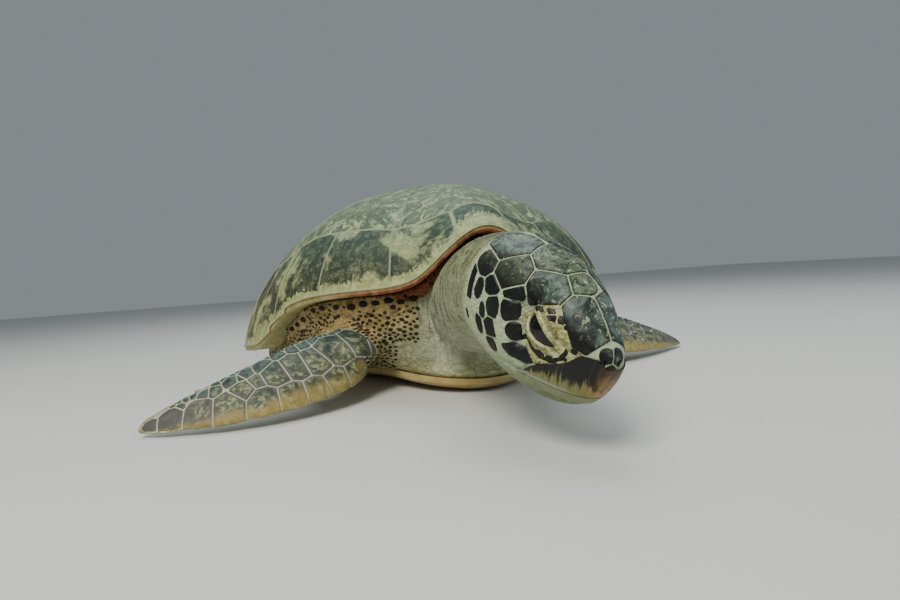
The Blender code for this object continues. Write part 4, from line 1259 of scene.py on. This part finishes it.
paint, tree, place = new_paint("Beak horn")
drop, back, side, above = (read_value(tree, name) for name in ("drop", "back", "side", "above_mouth"))
comb = add_node(tree, "ShaderNodeCombineXYZ", {
    0: times(tree, back, 70.0), 1: times(tree, drop, 1.1),
    2: times(tree, side, 26.0)}).outputs[0]
fibre = noise(tree, comb, 1.0, 5.0, 0.65, 0.25)
rear_lift = times(tree, between(tree, back, 0.16, 0.32), 0.25)
reach = plus(tree, plus(tree, drop, rear_lift), scaled(tree, fibre, 1.3, -0.65))
dark = times(tree, between(tree, reach, 0.82, 0.52), between(tree, back, -0.015, 0.035))
olive = blend(tree, fibre, (0.09, 0.09, 0.024), (0.27, 0.26, 0.085))
amber = blend(tree, fibre, (0.23, 0.105, 0.022), (0.48, 0.31, 0.11))
brown = blend(tree, between(tree, reach, 0.55, 0.1), amber, (0.07, 0.034, 0.01))
colour = blend(tree, between(tree, back, 0.075, 0.005), olive, brown)
black = blend(tree, between(tree, fibre, 0.5, 0.68), (0.0045, 0.0046, 0.0032), (0.036, 0.026, 0.014))
colour = blend(tree, dark, colour, black)
mouth_band = times(tree, between(tree, above, 5.0, 1.5), between(tree, back, 0.08, 0.20))
colour = blend(tree, times(tree, mouth_band, 0.7), colour, (0.3, 0.35, 0.29))
finish_paint(paint, colour, 0.38, 0.35, upper_horn)
bumpy(tree, fibre, 0.0010, 0.8)
paint, tree, place = new_paint("Lower beak horn")
fibre = noise(tree, place, 150.0, 5.0, 0.6)
colour = blend(tree, fibre, (0.13, 0.145, 0.065), (0.27, 0.29, 0.16))
finish_paint(paint, colour, 0.42, 0.30, lower_horn)
bumpy(tree, fibre, 0.0005, 0.6)

# ------------------------------------------------------------------ eyes
# Moist globes held in the skull under heavy lids, nearly black, with a dark brown iris that
# only shows close to. Each is a ball under a clear wet coat.
eyes = []
for side, node in ((-1, "eye_right"), (1, "eye_left")):
    centre, out, slant, across = eye_frame(side)
    bpy.ops.mesh.primitive_uv_sphere_add(radius=EYE_RADIUS, segments=64, ring_count=40,
                                         location=tuple(centre))
    eye = bpy.context.active_object
    eye.name = node + "_globe"
    bpy.ops.object.transform_apply(location=True, rotation=True, scale=True)
    bpy.ops.object.shade_smooth()
    spots = (places_of(eye) - centre) / EYE_RADIUS
    for key, values in (("gaze", spots @ out), ("slant", spots @ slant)):
        mark(eye.data, key, values)
    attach(eye, "root")
    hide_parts(node)
    eyes.append(eye)

paint, tree, place = new_paint("Eye")
gaze = read_value(tree, "gaze")
iris = plus(tree, gaze, scaled(tree, noise(tree, place, 500.0), 0.02, -0.01))
colour = blend(tree, between(tree, iris, 0.86, 0.9), (0.0016, 0.0022, 0.0022), (0.005, 0.0036, 0.0022))
colour = blend(tree, between(tree, iris, 0.955, 0.965), colour, (0.0008, 0.0008, 0.001))
finish_paint(paint, colour, 0.12, 0.30, *eyes)
shader = tree.nodes["Principled BSDF"]
shader.inputs["Coat Weight"].default_value = 0.25
shader.inputs["Coat Roughness"].default_value = 0.03

# ------------------------------------------------------------------ shell
# The carapace is a bony dome under horny scutes that meet at narrow seams: one nuchal, five
# vertebrals, four costals on each side and a border of marginals. The bone shows only at the
# seams, along the rim and under it. Each scute is a closed plate cut to the dome's own curve.
RIM_ROUND_AHEAD, RIM_ROUND_BEHIND = 1.60, 1.75
SEAM = 0.0010
MARGINAL_TURNS = (10, 26, 43, 58, 70, 81, 92, 103, 115, 128, 142, 156)
BORDER_REACH = ((0, 0.885), (10, 0.875), (26, 0.85), (43, 0.82), (58, 0.82), (90, 0.83),
                (128, 0.84), (156, 0.86), (180, 0.88))
# where the vertebrals meet at their sides, how far they reach out between, and the places on
# the border that each costal spans
ROW_ENDS = ((0.062, -0.215), (0.064, -0.030), (0.060, 0.150), (0.050, 0.320))
ROW_CORNERS = ((0.118, -0.120), (0.120, 0.060), (0.108, 0.235))
COSTAL_TURNS = ((24, 26, 43, 58, 65), (65, 70, 81, 91), (91, 103, 115, 122), (122, 128, 142, 148))
PAST_RIM = 1.06                  # the marginals are cut a little outside the rim
DOME_TOP = 0.349                 # where the map of the shell lies flat
SCUTE_RISE, SCUTE_FOOT, SCUTE_THICK, SCUTE_BEVEL = 0.0007, -0.0001, 0.0020, 0.0012


def rim_at(turn):
    """The rim in plan at an angle round from the front, on the left side."""
    ahead = cos(radians(turn))
    round_by = 2 / (RIM_ROUND_AHEAD if ahead > 0 else RIM_ROUND_BEHIND)
    length = SHELL_AHEAD if ahead > 0 else SHELL_BEHIND
    across = SHELL_WIDE * max(sin(radians(turn)), 0.0) ** round_by
    return np.array((across, -length * abs(ahead) ** round_by * (1 if ahead > 0 else -1)))


def border_at(turn):
    """Where the marginals end, straight between the seams that part them."""
    marks = (0,) + MARGINAL_TURNS + (180,)
    low, high = next(pair for pair in zip(marks, marks[1:]) if pair[0] <= turn <= pair[1])
    share = (turn - low) / (high - low)
    ends = [rim_at(seam) * read_off(BORDER_REACH, seam) for seam in (low, high)]
    return tuple(ends[0] * (1 - share) + ends[1] * share)


def mirrored(points):
    return [(-x, y) for x, y in reversed(points)]


def scute_plans():
    """Every scute's outline in plan, with its kind: 0 vertebral, 1 costal, 2 marginal, 3 nuchal."""
    front = border_at(10)
    rows = [[front, border_at(24), ROW_ENDS[0]]]
    rows += [list(row) for row in zip(ROW_ENDS, ROW_CORNERS, ROW_ENDS[1:])]
    rows.append([ROW_ENDS[3], border_at(148), border_at(156), (0.001, border_at(180)[1])])
    plans = [(row + mirrored(row), 0.0) for row in rows]
    for number, turns in enumerate(COSTAL_TURNS):
        costal = list(ROW_CORNERS[number - 1:number]) + [border_at(turn) for turn in turns]
        costal += list(ROW_CORNERS[number:number + 1]) + [ROW_ENDS[number]]
        plans += [(costal, 1.0), (mirrored(costal), 1.0)]
    for low, high in zip(MARGINAL_TURNS, MARGINAL_TURNS[1:] + (180,)):
        wide = [tuple(rim_at(turn) * PAST_RIM) for turn in np.linspace(low, high, 4)]
        marginal = [border_at(low)] + wide + [border_at(high)]
        plans += [(marginal, 2.0), (mirrored(marginal), 2.0)]
    nuchal = [tuple(rim_at(turn) * PAST_RIM) for turn in (10, 5, 0)]
    plans.append(([front] + nuchal + mirrored(nuchal[:-1]) + mirrored([front]), 3.0))
    return plans


def shell_map(place):
    """The dome laid flat: the way round is kept and the steep sides are let out."""
    grow = (1 + 0.8 * (1 - place[2] / DOME_TOP)) / 2.0
    return 0.5 + place[0] * grow * 0.95, 0.47 + place[1] * grow * 0.95


shell_bone = rounded_copy("carapace", 2, outer_above=0.03)
shell_bone.name = "carapace_bone"
shell_top = surface_of(shell_bone)
outer = np.zeros(len(shell_bone.data.polygons), dtype=np.int32)
shell_bone.data.attributes["outer"].data.foreach_get("value", outer)
shell_top["open"] = outer == 1
bone_tree = tree_of(shell_bone)
scute_coat = new_coat()
for outline, kind in scute_plans():
    corners = np.array(outline)
    middle = corners.mean(axis=0)
    place = np.array((middle[0], middle[1], 0.40))
    landing = bone_tree.ray_cast(Vector(place), Vector((0, 0, -1)))
    seed, way = np.array(landing[0]), np.array(landing[1])
    planes = []
    for low, high in zip(corners, np.roll(corners, -1, axis=0)):
        run = high - low
        if np.linalg.norm(run) < 0.004:
            continue
        out = np.array((run[1], -run[0], 0.0)) / np.linalg.norm(run)
        if out[:2] @ (low - middle) < 0:
            out = -out
        planes.append((np.array((low[0], low[1], 0.2)) - out * SEAM / 2, out))
    reach = float(np.linalg.norm(corners - middle, axis=1).max()) * 1.35 + 0.05
    behind = 0.55 * (corners[:, 1].max() - middle[1]) if kind < 2.5 else 0.02
    add_plate(scute_coat, shell_top, seed, way, reach, planes, shell_map, float(chance.random()),
              kind, rise=SCUTE_RISE, foot=SCUTE_FOOT, thick=SCUTE_THICK, bevel=SCUTE_BEVEL,
              facing=-0.6, solid=True, root=seed + np.array((0.0, behind, 0.0)))
touched = [np.zeros(len(shell_bone.data.vertices), dtype=bool) for _ in range(2)]
for face, side in zip(shell_bone.data.polygons, outer):
    touched[side][list(face.vertices)] = True
shell_places = places_of(shell_bone)
rim_line = shell_places[touched[0] & touched[1]]
rim_finder = finder_of(rim_line)
from_rim = np.array([rim_finder.find(place)[2] * 1000 for place in shell_places])
from_rim[touched[1]] *= -1
mark(shell_bone.data, "from_rim", from_rim)
push_out(shell_bone, -0.0003)
smooth(shell_bone)
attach(shell_bone, "root")
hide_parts("carapace")
scutes = finish_coat(scute_coat, "carapace_scutes")
to_rim = [rim_finder.find(place)[2] * 1000 for place in places_of(scutes)]
mark(scutes.data, "to_rim", to_rim)

# A green film of algae that also stands in for painted light from above: it greys and greens a colour in
# drifts that thicken with height.
film_and_top_light, given, result = new_group("Algae film", (
    ("Color", "NodeSocketColor", (0.5, 0.5, 0.5, 1.0)), ("Vector", "NodeSocketVector", None),
    ("Low", "NodeSocketFloat", 0.05), ("High", "NodeSocketFloat", 0.30),
    ("Amount", "NodeSocketFloat", 0.6)), "Color", "NodeSocketColor")
parts = axes(film_and_top_light, given["Vector"])
height = add_node(film_and_top_light, "ShaderNodeMapRange", {
    "Value": parts["Z"], "From Min": given["Low"],
    "From Max": given["High"]}).outputs[0]
drifts = patches(film_and_top_light, given["Vector"], 19.0, 0.62, 0.14)
share = times(film_and_top_light, times(film_and_top_light, height, drifts), given["Amount"])
film_and_top_light.links.new(blend(film_and_top_light, share, given["Color"], (0.085, 0.195, 0.155)), result)

paint, tree, place = new_paint("Scutes")
kind, inside, to_rim = (read_value(tree, name) for name in ("kind", "inside", "to_rim"))
root = add_node(tree, "ShaderNodeAttribute", attribute_name="root").outputs["Vector"]
off = vector_reckon(tree, "SUBTRACT", place, root)
way = vector_reckon(tree, "NORMALIZE", off)
far = vector_reckon(tree, "LENGTH", off)
parts = axes(tree, place)
fan = vector_reckon(tree, "MULTIPLY", way, (9.0, 9.0, 9.0))
fan = vector_reckon(tree, "ADD", fan, root)
outward = add_node(tree, "ShaderNodeCombineXYZ", {0: times(tree, far, 16.0)}).outputs[0]
fan = vector_reckon(tree, "ADD", fan, outward)
rays = noise(tree, fan, 1.0, 6.0, 0.62, 0.5)
broad = patches(tree, place, 11.0, 0.68, 0.05)
blotch = patches(tree, place, 52.0, 0.52, 0.05)
spots = patches(tree, place, 75.0, 0.50, 0.05)
fine = patches(tree, place, 190.0, 0.40, 0.06)
pale = blend(tree, spots, (0.3, 0.325, 0.125), (0.43, 0.465, 0.215))
dark = blend(tree, spots, (0.012, 0.019, 0.016), (0.045, 0.05, 0.028))
# Higher on the dome the dark and pale turn bluer green, as painted light from above.
high = between(tree, parts["Z"], 0.15, 0.27)
dark = blend(tree, high, dark, blend(tree, spots, (0.012, 0.033, 0.029), (0.03, 0.064, 0.05)))
pale = blend(tree, high, pale, blend(tree, spots, (0.25, 0.31, 0.165), (0.39, 0.45, 0.255)))
ray_mask = between(tree, rays, 0.48, 0.53)
either = reckon(tree, "MAXIMUM", times(tree, ray_mask, 0.95), times(tree, blotch, 0.88))
main = times(tree, either, scaled(tree, spots, 0.34, 0.66))
edge_noise = scaled(tree, rays, 40.0, -20.0)
from_edge = plus(tree, inside, times(tree, edge_noise, 0.5))
off_rim = plus(tree, to_rim, edge_noise)
patch = times(tree, between(tree, from_edge, -4.0, 0.0), between(tree, off_rim, 11.0, 17.0))
patch = times(tree, patch, scaled(tree, broad, 0.80, 0.15))
collar = times(tree, between(tree, plus(tree, off_rim, edge_noise), 24.0, 34.0),
                between(tree, inside, 1.5, 5.0))
dark_share = add_node(tree, "ShaderNodeMapRange", {
    "Value": between(tree, kind, 1.4, 1.6), "To Min": main, "To Max": patch}).outputs[0]
dark_share = add_node(tree, "ShaderNodeMapRange", {
    "Value": between(tree, kind, 2.4, 2.6), "To Min": dark_share, "To Max": collar}).outputs[0]
colour = blend(tree, dark_share, pale, dark)
fleck = times(tree, fine, scaled(tree, spots, 0.30, 0.08))
colour = blend(tree, fleck, colour, (0.27, 0.25, 0.12))
seam = times(tree, between(tree, inside, 1.3, 0.3), 0.85)
colour = blend(tree, seam, colour, (0.44, 0.49, 0.31))
# Algae and painted light from above, in drifts that thicken higher on the dome.
colour = place_group(tree, film_and_top_light, {"Color": colour, "Vector": place, "Low": 0.16, "High": 0.36,
                                  "Amount": 0.22})
finish_paint(paint, colour, 0.55, 0.22, scutes)
first = bumpy(tree, rays, 0.0014, 0.5)
bumpy(tree, noise(tree, place, 180.0, 6.0, 0.6), 0.0010, 0.6, first)

paint, tree, place = new_paint("Carapace rim")
rim = read_value(tree, "from_rim")
parts = axes(tree, place)
cloud = patches(tree, place, 60.0, 0.5, 0.10)
seam = blend(tree, cloud, (0.42, 0.45, 0.28), (0.54, 0.57, 0.39))
edge = blend(tree, cloud, (0.42, 0.24, 0.08), (0.52, 0.4, 0.19))
# Towards the front the rim's underside is dark red-brown: partly algae, partly painted shade under the
# rim.
red_and_rim_shade = blend(tree, cloud, (0.11, 0.034, 0.015), (0.36, 0.105, 0.04))
yellow = blend(tree, cloud, (0.29, 0.29, 0.11), (0.4, 0.39, 0.19))
under = blend(tree, between(tree, parts["Y"], -0.27, -0.34), yellow, red_and_rim_shade)
lower = blend(tree, between(tree, rim, 2.5, 5.0), edge, under)
colour = blend(tree, between(tree, rim, -0.9, -0.1), seam, lower)
# The film adds algae and painted light from above, thicker higher up.
colour = place_group(tree, film_and_top_light, {"Color": colour, "Vector": place, "Low": 0.24, "High": 0.42,
                                  "Amount": 0.35})
finish_paint(paint, colour, 0.6, 0.22, shell_bone)
bumpy(tree, noise(tree, place, 160.0, 6.0, 0.6), 0.0010, 0.6)

# ------------------------------------------------------------------ plastron
# The belly shield, joined to the carapace at its sides: a flat plate of bone under ochre horn,
# ringed with growth lines at its edge and parted by one long seam and five cross ones.
CROSS_SEAMS = (-0.30, -0.18, -0.05, 0.10, 0.24)
SEAM_FADE = 0.0018, 0.0008
plastron = rounded_copy("plastron", 2)
plastron.name = "plastron_plates"
smooth(plastron)
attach(plastron, "root")
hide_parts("plastron")

paint, tree, place = new_paint("Plastron horn")
cloud = patches(tree, place, 30.0, 0.5, 0.16)
lines = vector_reckon(tree, "MULTIPLY", place, (14.0, 14.0, 620.0))
line_mask = between(tree, noise(tree, lines, 1.0, 3.0, 0.5), 0.50, 0.62)
colour = blend(tree, cloud, (0.42, 0.29, 0.1), (0.52, 0.42, 0.19))
colour = blend(tree, times(tree, line_mask, 0.5), colour, (0.26, 0.15, 0.045))
parts = axes(tree, place)
seam = 0.0
for axis, seam_place in [("X", 0.0)] + [("Y", cross) for cross in CROSS_SEAMS]:
    away = reckon(tree, "ABSOLUTE", reckon(tree, "SUBTRACT", parts[axis], seam_place))
    seam = reckon(tree, "MAXIMUM", seam, between(tree, away, *SEAM_FADE))
seam = times(tree, seam, between(tree, parts["Z"], 0.012, 0.004))
colour = blend(tree, times(tree, seam, 0.7), colour, (0.2, 0.14, 0.06))
finish_paint(paint, colour, 0.5, 0.25, plastron)
bumpy(tree, noise(tree, place, 120.0, 5.0, 0.6), 0.0008, 0.5)

# ------------------------------------------------------------------ room
# A plain pale floor and soft studio light: a broad key from ahead on the turtle's right, a
# cooler fill from its left, a soft one from above and a low even sky.
bpy.ops.object.select_all(action="DESELECT")
bpy.ops.mesh.primitive_plane_add(size=14, location=(0, 0, 0))
floor = bpy.context.active_object
floor.name = "studio_floor"
paint, tree, place = new_paint("Pale floor")
colour = blend(tree, noise(tree, place, 3.0, 5.0, 0.5), (0.6, 0.6, 0.58), (0.64, 0.64, 0.62))
finish_paint(paint, colour, 0.75, 0.50, floor)
bumpy(tree, noise(tree, place, 60.0, 4.0, 0.5), 0.0006, 0.3)
floor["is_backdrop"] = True


def add_lamp(name, place, target, size, energy, colour):
    bpy.ops.object.light_add(type="AREA", location=place)
    lamp = bpy.context.active_object
    lamp.name = name
    lamp.data.shape = "DISK"
    lamp.data.size = size
    lamp.data.energy = energy
    lamp.data.color = colour
    lamp.rotation_euler = (Vector(target) - Vector(place)).to_track_quat("-Z", "Y").to_euler()


add_lamp("key", (-1.1, -1.7, 2.0), (0.0, -0.2, 0.15), 1.3, 62, (1.0, 0.96, 0.88))
add_lamp("fill", (1.9, -1.2, 1.3), (0.0, -0.2, 0.15), 2.0, 14, (0.88, 0.96, 1.0))
add_lamp("top", (0.2, 0.6, 2.6), (0.0, 0.0, 0.2), 2.0, 34, (0.90, 0.98, 1.0))
world = bpy.data.worlds.new("studio")
world.use_nodes = True
world.node_tree.nodes["Background"].inputs["Color"].default_value = (0.72, 0.80, 0.84, 1.0)
world.node_tree.nodes["Background"].inputs["Strength"].default_value = 0.32
bpy.context.scene.world = world

# The camera stands low, just ahead of the turtle's right flipper, and is rolled a little.
CAMERA_PLACE, LENS = (-0.241, -1.119, 0.171), 21.8
yaw, pitch, roll = 0.253, -0.047, -0.071
ahead = Vector((sin(yaw) * cos(pitch), cos(yaw) * cos(pitch), sin(pitch)))
level = Vector((cos(yaw), -sin(yaw), 0.0))
upright = level.cross(ahead)
right = level * cos(roll) + upright * sin(roll)
up = upright * cos(roll) - level * sin(roll)
pose = Matrix((right, up, -ahead)).transposed().to_4x4()
pose.translation = CAMERA_PLACE
bpy.ops.object.camera_add()
camera = bpy.context.active_object
camera.name = "view"
camera.data.lens = LENS
camera.data.sensor_width = 36.0
camera.data.clip_start = 0.01
camera.matrix_world = pose
bpy.context.scene.camera = camera

low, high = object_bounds()
